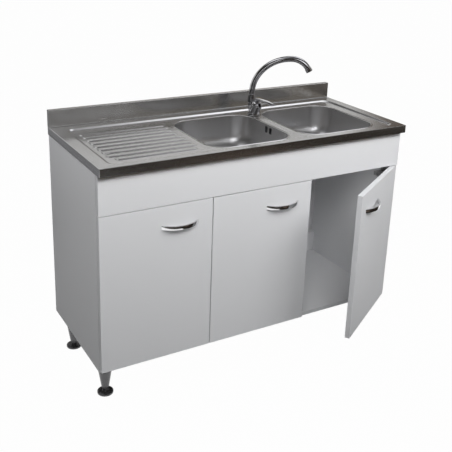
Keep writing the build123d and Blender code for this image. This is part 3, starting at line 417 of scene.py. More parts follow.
def extrude_ring(shape, edges):
    """Extrude a ring of edges in place; returns its new vertices and its new edges."""
    made = bmesh.ops.extrude_edge_only(shape, edges=edges)["geom"]
    fresh = new_verts(made)
    known = set(fresh)
    return fresh, [item for item in made if isinstance(item, bmesh.types.BMEdge)
                   and item.verts[0] in known and item.verts[1] in known]


def nearest_core(point, low, high, corner):
    """The nearest point of the box between the centres of an outline's round corners."""
    core_low = low + Vector((corner, corner))
    core_high = high - Vector((corner, corner))
    return Vector((min(max(point.x, core_low.x), core_high.x),
                   min(max(point.y, core_low.y), core_high.y)))


def roll_edge(shape, edges, low, high, corner, steps):
    """Carry a rounded outline through (outward, z) steps, each away from the outline's core."""
    for outward, z in steps:
        moved, edges = extrude_ring(shape, edges)
        for vert in moved:
            core = nearest_core(vert.co, low, high, corner)
            away = (vert.co.xy - core).normalized()
            place = core + away * (corner + outward)
            vert.co = Vector((place.x, place.y, z))
    return edges


def add_circle(shape, radius, segments, centre):
    """Add a level circle and return its edges."""
    ring = bmesh.ops.create_circle(shape, cap_ends=False, radius=radius, segments=segments,
                                   matrix=Matrix.Translation(centre))["verts"]
    return list(dict.fromkeys(edge for vert in ring for edge in vert.link_edges))


def bowl_mouth(x):
    """The low and high corners of a bowl's opening, seen from above."""
    return (Vector((x - BOWL_WIDTH / 2, BOWL_Y - BOWL_LENGTH / 2)),
            Vector((x + BOWL_WIDTH / 2, BOWL_Y + BOWL_LENGTH / 2)))


top_shape = bmesh.new()

# The rim: from the fold at the edge to the recess, with the fold's own rounding.
rim_low = Vector((-TOP_HALF + FOLD, FRONT_Y + FOLD))
rim_high = Vector((TOP_HALF - FOLD, TOP_BACK - FOLD))
outer = rounded_plate(top_shape, rim_low, rim_high, FOLD / 4, TOP, 3)
recess_reach = Vector((RECESS_ROUND, RECESS_ROUND))
recess_edges = rounded_plate(top_shape, RECESS_LOW - recess_reach, RECESS_HIGH + recess_reach,
                             RECESS_CORNER + RECESS_ROUND, TOP, 12)
bmesh.ops.triangle_fill(top_shape, use_beauty=True, edges=outer + recess_edges)
floor_edges = roll_edge(top_shape, recess_edges, RECESS_LOW, RECESS_HIGH, RECESS_CORNER, [
    (0.0, TOP), (-0.0012, TOP - 0.0002), (-0.0026, TOP - 0.0008), (-0.0074, TOP - 0.0040),
    (-0.0090, TOP - 0.0048), (-0.0105, RECESS_FLOOR), (-0.0120, RECESS_FLOOR),
])

# Round each bowl's opening the sheet swells up a little and then rolls down into the bowl.
floor_loops = list(floor_edges)
for x in BOWL_X.values():
    low, high = bowl_mouth(x)
    hole = rounded_plate(top_shape, low - MOUTH_REACH, high + MOUTH_REACH,
                         BOWL_CORNER + MOUTH_REACH.x, RECESS_FLOOR, 16)
    floor_loops += hole
    roll_edge(top_shape, hole, low, high, BOWL_CORNER, [
        (0.0070, RECESS_FLOOR), (0.0062, RECESS_FLOOR + 0.0003), (0.0050, RECESS_FLOOR + 0.0011),
        (0.0036, RECESS_FLOOR + 0.0015), (0.0020, RECESS_FLOOR + 0.0012),
        (0.0008, RECESS_FLOOR + 0.0003), (0.0002, RECESS_FLOOR - 0.0010),
        (0.0, RECESS_FLOOR - 0.0022),
    ])

# The drainer's ridges run from left to right, and the one nearest the front is a little shorter.
for row in range(RIDGE_COUNT):
    trim = RIDGE_TRIM if row == 0 else 0.0
    y = RIDGE_FIRST + row * RIDGE_PITCH
    low = Vector((RIDGE_LEFT + trim, y - RIDGE_WIDTH / 2))
    high = Vector((RIDGE_RIGHT - trim, y + RIDGE_WIDTH / 2))
    outline = rounded_plate(top_shape, low - RIDGE_REACH, high + RIDGE_REACH,
                            RIDGE_WIDTH / 2 + RIDGE_REACH.x, RECESS_FLOOR, 8)
    floor_loops += outline
    crown = roll_edge(top_shape, outline, low, high, RIDGE_WIDTH / 2 - JUST_UNDER, [
        (0.0, RECESS_FLOOR), (-0.0006, RECESS_FLOOR + 0.0004), (-0.0018, RECESS_FLOOR + 0.0018),
        (-0.0026, RECESS_FLOOR + 0.0023), (-0.0040, RECESS_FLOOR + 0.0026),
        (-0.0070, RECESS_FLOOR + 0.0028), (-0.0105, RECESS_FLOOR + 0.0029),
    ])
    bmesh.ops.edgeloop_fill(top_shape, edges=crown)

floor_loops += add_circle(top_shape, TAP_HOLE, 40, (TAP_X, TAP_Y, RECESS_FLOOR))
bmesh.ops.triangle_fill(top_shape, use_beauty=True, edges=floor_loops)

# The fold goes round all four sides and hangs over the front of the cabinet.
roll_edge(top_shape, outer, rim_low, rim_high, FOLD / 4, [
    (FOLD * 0.5, TOP - FOLD * 0.13), (FOLD * 0.87, TOP - FOLD * 0.5), (FOLD, TOP - FOLD),
    (FOLD, EDGE_LOW),
])
sink_top = write_piece("sink_top_sheet", top_shape, [satin_steel], "unit",
                       ["worktop"], sharp=40.0)
if sink_top.data.polygons[0].normal.z < 0.0:
    sink_top.data.flip_normals()
thickness = sink_top.modifiers.new("sheet", "SOLIDIFY")
thickness.thickness = SHEET
thickness.offset = -1.0
keep_flat(sink_top)


def push_profile(shape, profile, x, width):
    """Push a closed profile of (y, z) points along X."""
    end = shape.faces.new([shape.verts.new((x, y, z)) for y, z in profile])
    made = bmesh.ops.extrude_face_region(shape, geom=[end])["geom"]
    bmesh.ops.translate(shape, vec=(width, 0, 0), verts=new_verts(made))


# The low wall at the back is folded up from the same sheet, with a small cove at its foot.
wall_shape = bmesh.new()
wall_foot = TOP + 0.0001
wall_profile = [(UPSTAND_FRONT - COVE, wall_foot)]
wall_profile += [(UPSTAND_FRONT - COVE + COVE * sin(radians(turn)),
                  wall_foot + COVE * (1 - cos(radians(turn)))) for turn in (22, 45, 68, 90)]
wall_profile += [(UPSTAND_FRONT + WALL_ROUND * (1 - cos(radians(turn))),
                  UPSTAND_TOP - WALL_ROUND * (1 - sin(radians(turn)))) for turn in (0, 30, 60, 90)]
wall_profile += [(TOP_BACK - WALL_ROUND * (1 - sin(radians(turn))),
                  UPSTAND_TOP - WALL_ROUND * (1 - cos(radians(turn)))) for turn in (0, 30, 60, 90)]
wall_profile += [(TOP_BACK, TOP)]
push_profile(wall_shape, wall_profile, -TOP_HALF, 2 * TOP_HALF)
keep_flat(write_piece("sink_top_upstand", wall_shape, [satin_steel], "unit",
                      ["worktop"], sharp=40.0))

# ---------------------------------------------------------------- battens
# Raw chipboard strips are glued under the sheet to stiffen it, and carry its weight down to
# the carcass.

batten_board = varied_material("raw_chipboard", (0.47, 0.34, 0.20, 1.0), 0.75, tone=0.6,
                               gloss=0.1, cloud=260.0, tooth=420.0, bump=0.8, bump_height=0.0006)
paint(batten_board, "worktop_battens")

# ---------------------------------------------------------------- bowls
# Two bowls deep-drawn from the same steel and welded under the openings. The left one has a
# pair of overflow slots high in its right-hand wall.

BOWL_TOP = 0.844
BOWL_FLOOR = 0.705
BOWL_BOTTOM_RADIUS = 0.075
BOWL_DRAFT = radians(4.0)
WASTE_HOLE = 0.0435
WASTE_SEAT = 0.014
BRIM_Z = 0.8438
LEVEL_WITHIN = 0.001
CORE_MARGIN = 0.03
SLOT_STEP = 0.0135
SLOT_SIZE = (0.016, 0.017, 0.023)
SLOT_ROUND = 0.004
SLOT_DROP = 0.020

bowl_steel = varied_material("drawn_bowl_steel", (0.66, 0.66, 0.665, 1.0), 0.30, metallic=1.0,
                             tone=0.03, gloss=0.03, cloud=9.0, tooth=1300.0, bump=0.03,
                             bump_height=0.0001)


def add_block(shape, centre, size, turn=Matrix.Identity(4)):
    """Add a block about a centre."""
    bmesh.ops.create_cube(shape, size=1.0, matrix=Matrix.Translation(centre) @ turn
                          @ Matrix.Diagonal((*size, 1.0)))


def cut_with(piece, cutter_shape):
    """Cut a closed shape out of a finished piece, and settle its modifiers."""
    cutter = place_shape("cutter", cutter_shape)
    cut = piece.modifiers.new("cut", "BOOLEAN")
    cut.operation = "DIFFERENCE"
    cut.solver = "EXACT"
    cut.object = cutter
    settled = bpy.data.meshes.new_from_object(
        piece.evaluated_get(bpy.context.evaluated_depsgraph_get()))
    piece.modifiers.clear()
    piece.data = settled
    bpy.data.objects.remove(cutter)


def draw_in(shape, low, high):
    """Lean a bowl's walls in towards its floor, as a drawing die leaves them."""
    for vert in shape.verts:
        core = nearest_core(vert.co, low, high, BOWL_CORNER)
        away = vert.co.xy - core
        if away.length > CORE_MARGIN:
            drawn_in = (BOWL_TOP - vert.co.z) * tan(BOWL_DRAFT)
            vert.co.xy = core + away.normalized() * (away.length - drawn_in)


def open_waste(shape, x):
    """Take out a bowl's flat floor, and fill it in again round a seat and hole for the waste."""
    base = [face for face in shape.faces
            if abs(face.calc_center_median().z - BOWL_FLOOR) < 0.00001 and len(face.verts) > 8]
    floor_rim = [edge for face in base for edge in face.edges
                 if sum(other in base for other in edge.link_faces) == 1]
    bmesh.ops.delete(shape, geom=base, context="FACES")
    floor_rim = [edge for edge in floor_rim if edge.is_valid]
    seat = add_circle(shape, WASTE_HOLE + WASTE_SEAT, 64, (x, BOWL_Y, BOWL_FLOOR))
    bmesh.ops.triangle_fill(shape, use_beauty=True, edges=floor_rim + seat)
    centre = Vector((x, BOWL_Y))
    for vert in extrude_ring(shape, seat)[0]:
        vert.co.xy = centre + (vert.co.xy - centre) * (WASTE_HOLE / (WASTE_HOLE + WASTE_SEAT))


for side, x in BOWL_X.items():
    low, high = bowl_mouth(x)
    bowl_shape = bmesh.new()
    depth = BOWL_TOP - BOWL_FLOOR
    add_block(bowl_shape, (x, BOWL_Y, BOWL_FLOOR + depth / 2), (BOWL_WIDTH, BOWL_LENGTH, depth))
    upright = [edge for edge in bowl_shape.edges
               if abs(edge.verts[0].co.z - edge.verts[1].co.z) > depth / 2]
    round_off(bowl_shape, upright, BOWL_CORNER, 20)
    lid = [face for face in bowl_shape.faces
           if face.calc_center_median().z > BOWL_TOP - LEVEL_WITHIN]
    bmesh.ops.delete(bowl_shape, geom=lid, context="FACES_ONLY")
    bottom = [edge for edge in bowl_shape.edges
              if all(vert.co.z < BOWL_FLOOR + LEVEL_WITHIN for vert in edge.verts)]
    round_off(bowl_shape, bottom, BOWL_BOTTOM_RADIUS, 12)
    draw_in(bowl_shape, low, high)
    open_waste(bowl_shape, x)
    brim = [edge for edge in bowl_shape.edges
            if edge.is_boundary
            and all(vert.co.z > BOWL_TOP - LEVEL_WITHIN for vert in edge.verts)]
    roll_edge(bowl_shape, brim, low, high, BOWL_CORNER, [(0.0006, BRIM_Z), (0.0070, BRIM_Z)])
    bowl = write_piece("bowl_%s_shell" % side, bowl_shape, [bowl_steel], "unit",
                       ["bowl_" + side], sharp=50.0)
    middle_floor = min(bowl.data.polygons, key=lambda face: face.center.z)
    if middle_floor.normal.z < 0.0:
        bowl.data.flip_normals()
    shell = bowl.modifiers.new("shell", "SOLIDIFY")
    shell.thickness = SHEET
    shell.offset = -1.0
    if side == "left":
        slots = bmesh.new()
        for step in (-SLOT_STEP, SLOT_STEP):
            add_block(slots, (high.x - 0.001, BOWL_Y + step, RECESS_FLOOR - SLOT_DROP), SLOT_SIZE)
        along = [edge for edge in slots.edges
                 if abs(edge.verts[0].co.x - edge.verts[1].co.x) > 0.01]
        round_off(slots, along, SLOT_ROUND, 6)
        cut_with(bowl, slots)

overflow_plastic = varied_material("overflow_moulding", (0.10, 0.10, 0.105, 1.0), 0.45,
                                   tone=0.1, tooth=500.0, bump=0.15)
paint(overflow_plastic, "overflow_box")

# ---------------------------------------------------------------- door handles
# Chromed bow handles, bent from flat strap with softly rounded rims. Two screws from the
# inside of its door hold each of them.

HANDLE_ROUND = 0.0016

handle_chrome = varied_material("handle_chrome", (0.80, 0.80, 0.81, 1.0), 0.10, metallic=1.0,
                                tone=0.04, gloss=0.06, cloud=25.0, tooth=1800.0, bump=0.02)

for side in ("left", "middle", "right"):
    handle_shape = clean_copy("handle_" + side)
    middle_z = sum(vert.co.z for vert in handle_shape.verts) / len(handle_shape.verts)
    rims = [edge for edge in handle_shape.edges
            if len(edge.link_faces) == 2 and edge.calc_face_angle() > radians(50.0)
            and abs((edge.verts[0].co.z + edge.verts[1].co.z) / 2 - middle_z) > 0.006]
    round_off(handle_shape, rims, HANDLE_ROUND, 4, clamp=True)
    write_piece("bow_handle_" + side, handle_shape, [handle_chrome], "door_" + side,
                ["handle_" + side], sharp=40.0)

# ---------------------------------------------------------------- tap body
# A cast and chromed body: a round foot, a trunk that forks to a tilted cartridge housing in
# front and to the spout's socket behind.

TAP_FOOT = 0.846
HOUSING_ROOT = Vector((TAP_X, TAP_Y, 0.8485))
HOUSING_TILT = radians(27.0)
HOUSING_AXIS = Vector((0.0, -sin(HOUSING_TILT), cos(HOUSING_TILT)))
SOCKET = Vector((TAP_X, TAP_Y + 0.018, 0.0))
SOCKET_TOP = 0.893
TRUNK_LOW = 0.847
TRUNK_TOP = 0.880
TRUNK_RADIUS = 0.0195
HOUSING_FROM = 0.010
HOUSING_LENGTH = 0.044
BRANCH_RADIUS = 0.0138
BRANCH_TOP = 0.872
FOOT_RADIUS = 0.024
CAST_GRAIN = 0.0007
SMOOTHINGS = 14

tap_chrome = varied_material("tap_chrome", (0.50, 0.50, 0.515, 1.0), 0.05, metallic=1.0,
                             tone=0.03, gloss=0.05, cloud=30.0, tooth=260.0, bump=0.004)
turned_chrome = varied_material("collar_chrome", (0.30, 0.30, 0.31, 1.0), 0.14, metallic=1.0,
                                tone=0.08, gloss=0.08, cloud=30.0, tooth=900.0,
                                stretch=(0.1, 0.1, 3.0), bump=0.06)

body_shape = bmesh.new()
turned(body_shape, [(0.0, TRUNK_LOW), (TRUNK_RADIUS, TRUNK_LOW),
                    (TRUNK_RADIUS, TRUNK_TOP - 0.004), (TRUNK_RADIUS - 0.0035, TRUNK_TOP),
                    (0.0, TRUNK_TOP)], Vector((TAP_X, TAP_Y, 0.0)))
turned(body_shape, [(0.0, HOUSING_FROM), (TRUNK_RADIUS, HOUSING_FROM),
                    (TRUNK_RADIUS, HOUSING_LENGTH), (0.0, HOUSING_LENGTH)],
       HOUSING_ROOT, HOUSING_AXIS)
branch = Vector((TAP_X, SOCKET.y, BRANCH_TOP)) - HOUSING_ROOT
turned(body_shape, [(0.0, branch.length * 0.4), (BRANCH_RADIUS, branch.length * 0.4),
                    (BRANCH_RADIUS, branch.length), (0.0, branch.length)], HOUSING_ROOT, branch)
turned(body_shape, [(0.0, BRANCH_TOP - 0.006), (BRANCH_RADIUS, BRANCH_TOP - 0.006),
                    (BRANCH_RADIUS, SOCKET_TOP - 0.001), (0.0, SOCKET_TOP - 0.001)], SOCKET)
cast_body = write_piece("tap_cast_body", body_shape, [tap_chrome], "unit",
                        ["tap_body"])

# The turned parts melt into one casting, which is then smoothed where they meet.
casting = cast_body.modifiers.new("cast", "REMESH")
casting.mode = "VOXEL"
casting.voxel_size = CAST_GRAIN
cast_mesh = bpy.data.meshes.new_from_object(
    cast_body.evaluated_get(bpy.context.evaluated_depsgraph_get()))
cast_body.modifiers.clear()
cast_shape = bmesh.new()
cast_shape.from_mesh(cast_mesh)
for _ in range(SMOOTHINGS):
    bmesh.ops.smooth_vert(cast_shape, verts=cast_shape.verts, factor=0.5, use_axis_x=True,
                          use_axis_y=True, use_axis_z=True)
cast_shape.to_mesh(cast_body.data)
cast_shape.free()
cast_body.data.materials.clear()
cast_body.data.materials.append(tap_chrome)
cast_body.data.shade_smooth()

# Thin turned rings trim the foot, the mouth of the housing and the mouth of the socket.
foot_ring = bmesh.new()
turned(foot_ring, [
    (0.0, TAP_FOOT), (FOOT_RADIUS - 0.0004, TAP_FOOT), (FOOT_RADIUS, TAP_FOOT + 0.0004),
    (FOOT_RADIUS, 0.8505), (0.0234, 0.8522), (0.0218, 0.8530), (0.0205, 0.8534),
    (TRUNK_RADIUS + 0.0003, 0.8545), (0.0, 0.8545),
], Vector((TAP_X, TAP_Y, 0.0)))
turned(foot_ring, [(0.0, 0.0425), (0.0198, 0.0425), (0.0200, 0.0430), (0.0200, 0.0457),
                   (0.0197, 0.0460), (0.0, 0.0460)], HOUSING_ROOT, HOUSING_AXIS)
turned(foot_ring, [(0.0, SOCKET_TOP - 0.004), (0.0140, SOCKET_TOP - 0.004),
                   (0.0142, SOCKET_TOP - 0.0035), (0.0142, SOCKET_TOP - 0.0004),
                   (0.0139, SOCKET_TOP), (0.0, SOCKET_TOP)], SOCKET)
write_piece("tap_turned_rings", foot_ring, [tap_chrome], "unit", ["tap_body"])

black_rubber = varied_material("black_rubber", (0.02, 0.02, 0.021, 1.0), 0.6, tone=0.2,
                               tooth=500.0, bump=0.2)
paint(black_rubber, "tap_gasket")

# ---------------------------------------------------------------- tap cap and lever
# A domed cap turns on the housing for hot and cold. The flat lever is cast with a round hub,
# which is pivoted in the cap's slot and lifts to open the tap.

CAP_LOW = 0.0464
CAP_SHOULDER = 0.0494
CAP_RADIUS = 0.0205
CAP_DOME = 0.013
CAP_SLOT_AT = 0.0564
CAP_SLOT = (0.0088, 0.0451, 0.0142)

cap_shape = bmesh.new()
dome = [(CAP_RADIUS * cos(radians(turn)) ** 0.8, CAP_SHOULDER + CAP_DOME * sin(radians(turn)))
        for turn in (0, 10, 20, 30, 40, 50, 60, 70, 80)]
turned(cap_shape, [(0.0, CAP_LOW), (CAP_RADIUS - 0.0005, CAP_LOW),
                   (CAP_RADIUS, CAP_LOW + 0.0005)] + dome + [(0.0, CAP_SHOULDER + CAP_DOME)],
       HOUSING_ROOT, HOUSING_AXIS)
cap = write_piece("tap_domed_cap", cap_shape, [tap_chrome], "tap_control",
                  ["tap_control_cap"], sharp=40.0)
slot_shape = bmesh.new()
add_block(slot_shape, HOUSING_ROOT + HOUSING_AXIS * CAP_SLOT_AT, CAP_SLOT,
          Matrix.Rotation(HOUSING_TILT, 4, "X"))
cut_with(cap, slot_shape)

LEVER_HALF = 0.011
LEVER_REAR = 0.022
LEVER_TIP = 0.131
LEVER_TOP = 0.919
LEVER_LOW = 0.911
LEVER_TIP_DROP = 0.0048
LEVER_TIP_SAG = 0.0016
LEVER_BACK_RISE = 0.0096
LEVER_BELLY_RISE = 0.0064
LEVER_ROUND = 0.0026
HUB_RADIUS = 0.0085
TONGUE_HALF = 0.004
PIVOT = HOUSING_ROOT + HOUSING_AXIS * 0.058
LEVER_STEPS = 10

lever_shape = bmesh.new()
lever_shares = [step / LEVER_STEPS for step in range(LEVER_STEPS + 1)]
lever_back = [(TAP_Y - (LEVER_REAR + (LEVER_TIP - LEVER_REAR) * share),
               LEVER_TOP - LEVER_TIP_DROP * share + LEVER_BACK_RISE * share * (1 - share))
              for share in lever_shares]
lever_belly = [(TAP_Y - (LEVER_REAR + (LEVER_TIP - LEVER_REAR) * share),
                LEVER_LOW - LEVER_TIP_SAG * share + LEVER_BELLY_RISE * share * (1 - share))
               for share in reversed(lever_shares)]
push_profile(lever_shape, lever_back + lever_belly, TAP_X - LEVER_HALF, 2 * LEVER_HALF)
lever_shape.normal_update()
lever_rims = [edge for edge in lever_shape.edges
              if len(edge.link_faces) == 2 and edge.calc_face_angle() > radians(40.0)]
round_off(lever_shape, lever_rims, LEVER_ROUND, 5, clamp=True)
turned(lever_shape, [(0.0, -TONGUE_HALF), (HUB_RADIUS, -TONGUE_HALF), (HUB_RADIUS, TONGUE_HALF),
                     (0.0, TONGUE_HALF)], PIVOT, Vector((1, 0, 0)), 32)
neck_top = LEVER_LOW + 0.004
add_block(lever_shape, (PIVOT.x, PIVOT.y, (PIVOT.z + neck_top) / 2),
          (2 * TONGUE_HALF, HUB_RADIUS, neck_top - PIVOT.z))
write_piece("tap_lever_blade", lever_shape, [tap_chrome], "tap_lever",
            ["tap_lever"], sharp=40.0)

# ---------------------------------------------------------------- spout
# A bent and chromed tube rises from the socket in a swan neck, with a conical collar at its
# foot and an aerator at its end.

SPOUT_TURN = radians(-40.0)
SPOUT_RADIUS = 0.011
SPOUT_FOOT = 0.8934
OUTWARD = Vector((cos(SPOUT_TURN), sin(SPOUT_TURN), 0.0))
BEND_AXIS = Vector((0, 0, 1)).cross(OUTWARD)
BEND_START = SOCKET_TOP + 0.035
SPOUT_BENDS = ((0.128, 0.0, 33.5), (0.153, 33.5, 90.0), (0.067, 90.0, 148.0))
SPOUT_END = 0.010
SPOUT_WALL = 0.0015

spout_shape = bmesh.new()
end_ring = add_circle(spout_shape, SPOUT_RADIUS, 32, (SOCKET.x, SOCKET.y, SPOUT_FOOT))


def push_ring(shape, edges, by):
    """Extrude a ring of edges by a vector and return the new ring."""
    moved, ring = extrude_ring(shape, edges)
    bmesh.ops.translate(shape, vec=by, verts=moved)
    return ring


end_ring = push_ring(spout_shape, end_ring, Vector((0, 0, BEND_START - SPOUT_FOOT)))
here = Vector((SOCKET.x, SOCKET.y, BEND_START))
for bend_radius, lean_from, lean_to in SPOUT_BENDS:
    lean = radians(lean_from)
    centre = here + (OUTWARD * cos(lean) - Vector((0, 0, sin(lean)))) * bend_radius
    bend = radians(lean_to - lean_from)
    ring_verts = list(dict.fromkeys(vert for edge in end_ring for vert in edge.verts))
    made = bmesh.ops.spin(spout_shape, geom=ring_verts + end_ring, cent=centre, axis=BEND_AXIS,
                          angle=bend, steps=max(8, int((lean_to - lean_from) / 3)),
                          use_merge=False)["geom_last"]
    end_ring = [item for item in made if isinstance(item, bmesh.types.BMEdge)]
    here = centre + Matrix.Rotation(bend, 3, BEND_AXIS) @ (here - centre)
end_way = Matrix.Rotation(radians(SPOUT_BENDS[-1][2]), 3, BEND_AXIS) @ Vector((0, 0, 1))
push_ring(spout_shape, end_ring, end_way * SPOUT_END)
tube_end = here + end_way * SPOUT_END
spout_body = write_piece("spout_tube", spout_shape, [tap_chrome], "tap_spout",
                         ["tap_spout"], sharp=50.0)
tube_wall = spout_body.modifiers.new("wall", "SOLIDIFY")
tube_wall.thickness = SPOUT_WALL
tube_wall.offset = -1.0

aerator_shape = bmesh.new()
turned(aerator_shape, [
    (0.0112, -0.0098), (0.0121, -0.0100), (0.0125, -0.0096), (0.0125, 0.0034), (0.0121, 0.0040),
    (0.0100, 0.0040), (0.0092, 0.0034), (0.0088, 0.0015), (0.0, 0.0015),
], tube_end, end_way)
write_piece("spout_aerator_ring", aerator_shape, [tap_chrome], "tap_spout",
            ["spout_aerator"])

collar_shape = bmesh.new()
turned(collar_shape, [
    (0.0112, 0.8934), (0.0150, 0.8934), (0.0155, 0.8940), (0.0153, 0.8965), (0.0128, 0.9215),
    (0.0124, 0.9238), (0.0119, 0.9244), (0.0111, 0.9240),
], SOCKET)
write_piece("spout_cone_collar", collar_shape, [turned_chrome], "tap_spout",
            ["spout_collar"])

# ---------------------------------------------------------------- tap fixings
# A brass shank, nut and washer hold the tap from below, and two brass tails take the
# supply hoses. The washer is nickel-plated steel.

brass = varied_material("fitting_brass", (0.62, 0.45, 0.20, 1.0), 0.30, metallic=1.0, tone=0.12,
                        gloss=0.10, cloud=60.0, tooth=1100.0, stretch=(0.2, 0.2, 3.0), bump=0.08)
paint(brass, "tap_shank", "tap_nut", "tap_inlets")
paint(plated, "tap_washer")

# ---------------------------------------------------------------- wastes and trap
# Polished steel strainer wastes with lift-out baskets hang through the bowls, and white
# plastic pipes join them to a bottle trap.

waste_steel = varied_material("waste_steel", (0.66, 0.66, 0.65, 1.0), 0.18, metallic=1.0,
                              tone=0.05, gloss=0.08, cloud=30.0, tooth=1000.0, bump=0.04)
paint(waste_steel, "waste_left", "waste_right", "basket_left", "basket_right")
pipe_plastic = varied_material("pipe_plastic", (0.80, 0.80, 0.78, 1.0), 0.34, tone=0.04,
                               gloss=0.08, cloud=12.0, tooth=700.0, bump=0.08)
paint(pipe_plastic, "waste_nuts", "cross_pipe", "trap_body", "trap_cup", "outlet_pipe")

# ---------------------------------------------------------------- floor and world
# A plain pale floor keeps the shadows, and looks white to the camera and in the metal. The world
# is white to them too, and lights the matt surfaces only faintly.

FLOOR_RADIUS = 14.0
FLOOR_WHITE = 0.985
WHITE = (1.0, 1.0, 1.0, 1.0)


def seen_directly(tree):
    """1 for rays from the camera, through something clear or off something glossy, else 0."""
    paths = add_node(tree, "ShaderNodeLightPath")
    straight = add_node(tree, "ShaderNodeMath",
                        {0: paths.outputs["Is Camera Ray"],
                         1: paths.outputs["Is Transmission Ray"]}, operation="MAXIMUM")
    return add_node(tree, "ShaderNodeMath",
                    {0: straight.outputs[0], 1: paths.outputs["Is Glossy Ray"]},
                    operation="MAXIMUM").outputs[0]


def empty_material(name):
    """A material whose node tree is still empty, and that tree."""
    material = bpy.data.materials.new(name)
    material.use_nodes = True
    material.node_tree.nodes.clear()
    return material, material.node_tree


floor_material, floor_tree = empty_material("pale_floor")
floor_grain = add_node(floor_tree, "ShaderNodeTexNoise", {"Scale": 6.0, "Detail": 3.0})
floor_tone = add_node(floor_tree, "ShaderNodeMapRange",
                      {"Value": floor_grain.outputs["Fac"], "To Min": 0.19, "To Max": 0.22})
floor_plain = add_node(floor_tree, "ShaderNodeBsdfDiffuse",
                       {"Color": floor_tone.outputs["Result"]})
floor_white = add_node(floor_tree, "ShaderNodeEmission", {"Color": WHITE, "Strength": 1.0})
floor_share = add_node(floor_tree, "ShaderNodeMath",
                       {0: seen_directly(floor_tree), 1: FLOOR_WHITE}, operation="MULTIPLY")
floor_mix = add_node(floor_tree, "ShaderNodeMixShader",
                     {0: floor_share.outputs[0], 1: floor_plain.outputs[0],
                      2: floor_white.outputs[0]})
add_node(floor_tree, "ShaderNodeOutputMaterial", {0: floor_mix.outputs[0]})

floor_shape = bmesh.new()
bmesh.ops.create_circle(floor_shape, cap_ends=True, radius=FLOOR_RADIUS, segments=96)
place_shape("floor", floor_shape, [floor_material])

world = bpy.data.worlds.new("studio")
bpy.context.scene.world = world
world.use_nodes = True
sky = world.node_tree
sky.nodes.clear()
sky_strength = add_node(sky, "ShaderNodeMapRange",
                        {"Value": seen_directly(sky), "To Min": 0.02, "To Max": 1.0})
sky_light = add_node(sky, "ShaderNodeBackground",
                     {"Color": WHITE, "Strength": sky_strength.outputs["Result"]})
add_node(sky, "ShaderNodeOutputWorld", {0: sky_light.outputs[0]})

# ---------------------------------------------------------------- studio cards
# Sheets round the unit that only its metal reflects: dark brown ones in front, behind and low
# down, grey ones at the right, and bright ones at the left, overhead and high in front.

LEVEL = Matrix.Identity(4)
FACING_X = Matrix.Rotation(pi / 2, 4, "Y")
FACING_Y = Matrix.Rotation(pi / 2, 4, "X")


def studio_card(name, centre, size, turn, colour, glow_colour, glow_at, glow_radius):
    """A sheet that only glossy surfaces see, with a soft lighter patch on it."""
    material, tree = empty_material(name)
    place = add_node(tree, "ShaderNodeTexCoord").outputs["Object"]
    distance = add_node(tree, "ShaderNodeVectorMath", {0: place, 1: glow_at},
                        operation="DISTANCE").outputs["Value"]
    share = add_node(tree, "ShaderNodeMapRange",
                     {"Value": distance, "From Min": 0.0, "From Max": glow_radius,
                      "To Min": 1.0, "To Max": 0.0}, interpolation_type="SMOOTHSTEP")
    shade = add_node(tree, "ShaderNodeMix",
                     {0: share.outputs["Result"], 6: (*colour, 1.0), 7: (*glow_colour, 1.0)},
                     data_type="RGBA")
    light = add_node(tree, "ShaderNodeEmission", {"Color": shade.outputs[2], "Strength": 1.0})
    add_node(tree, "ShaderNodeOutputMaterial", {0: light.outputs[0]})
    shape = bmesh.new()
    bmesh.ops.create_grid(shape, x_segments=1, y_segments=1, size=0.5,
                          matrix=Matrix.Translation(centre) @ turn
                          @ Matrix.Diagonal((*size, 1.0, 1.0)))
    card = place_shape(name, shape, [material])
    card.visible_camera = False
    card.visible_diffuse = False
    card.visible_shadow = False
    card.visible_transmission = False


studio_card("card_front", (0.0, -3.8, 1.5), (10.0, 3.4), FACING_Y,
            (0.05, 0.042, 0.036), (0.26, 0.22, 0.17), (2.8, -3.8, 1.6), 2.4)
studio_card("card_left", (-3.4, -0.2, 1.4), (3.2, 4.6), FACING_X,
            (0.035, 0.035, 0.032), (0.10, 0.10, 0.09), (-3.4, -2.0, 1.0), 1.5)
studio_card("card_strip", (-2.5, -1.9, 1.1), (1.9, 0.32), FACING_X,
            (1.8, 1.8, 1.85), (2.4, 2.4, 2.4), (-2.5, -1.9, 1.1), 0.6)
studio_card("card_right", (3.4, -1.6, 1.6), (3.2, 4.4), FACING_X,
            (0.30, 0.28, 0.26), (0.5, 0.5, 0.5), (3.4, 0.6, 1.6), 1.5)
studio_card("card_behind", (1.95, 1.0, 1.35), (1.6, 1.4), FACING_Y,
            (0.10, 0.075, 0.055), (1.0, 1.0, 1.0), (1.15, 1.0, 1.35), 0.55)
studio_card("card_back", (1.75, 4.5, 1.13), (5.5, 2.26), FACING_Y,
            (0.07, 0.06, 0.04), (0.25, 0.21, 0.15), (2.6, 4.5, 1.6), 1.4)
studio_card("card_low", (3.1, -3.2, 0.004), (6.0, 6.0), LEVEL,
            (0.022, 0.018, 0.015), (0.15, 0.115, 0.095), (1.0, -1.9, 0.0), 0.7)
studio_card("card_low_left", (-2.9, -3.75, 0.004), (6.0, 4.9), LEVEL,
            (0.06, 0.055, 0.05), (0.12, 0.11, 0.10), (-2.0, -1.3, 0.0), 1.0)
studio_card("card_low_back", (-1.5, 3.8, 0.004), (7.0, 5.2), LEVEL,
            (0.20, 0.20, 0.21), (0.24, 0.24, 0.25), (-1.5, 4.0, 0.0), 1.5)
studio_card("card_top", (0.0, 0.0, 3.4), (10.0, 10.0), LEVEL,
            (0.10, 0.097, 0.094), (2.2, 2.2, 2.25), (-0.8, 0.9, 3.4), 2.2)
studio_card("card_high", (1.9, 1.0, 3.38), (5.2, 5.2), LEVEL,
            (0.10, 0.097, 0.094), (2.0, 2.0, 2.1), (1.9, 1.0, 3.38), 2.2)
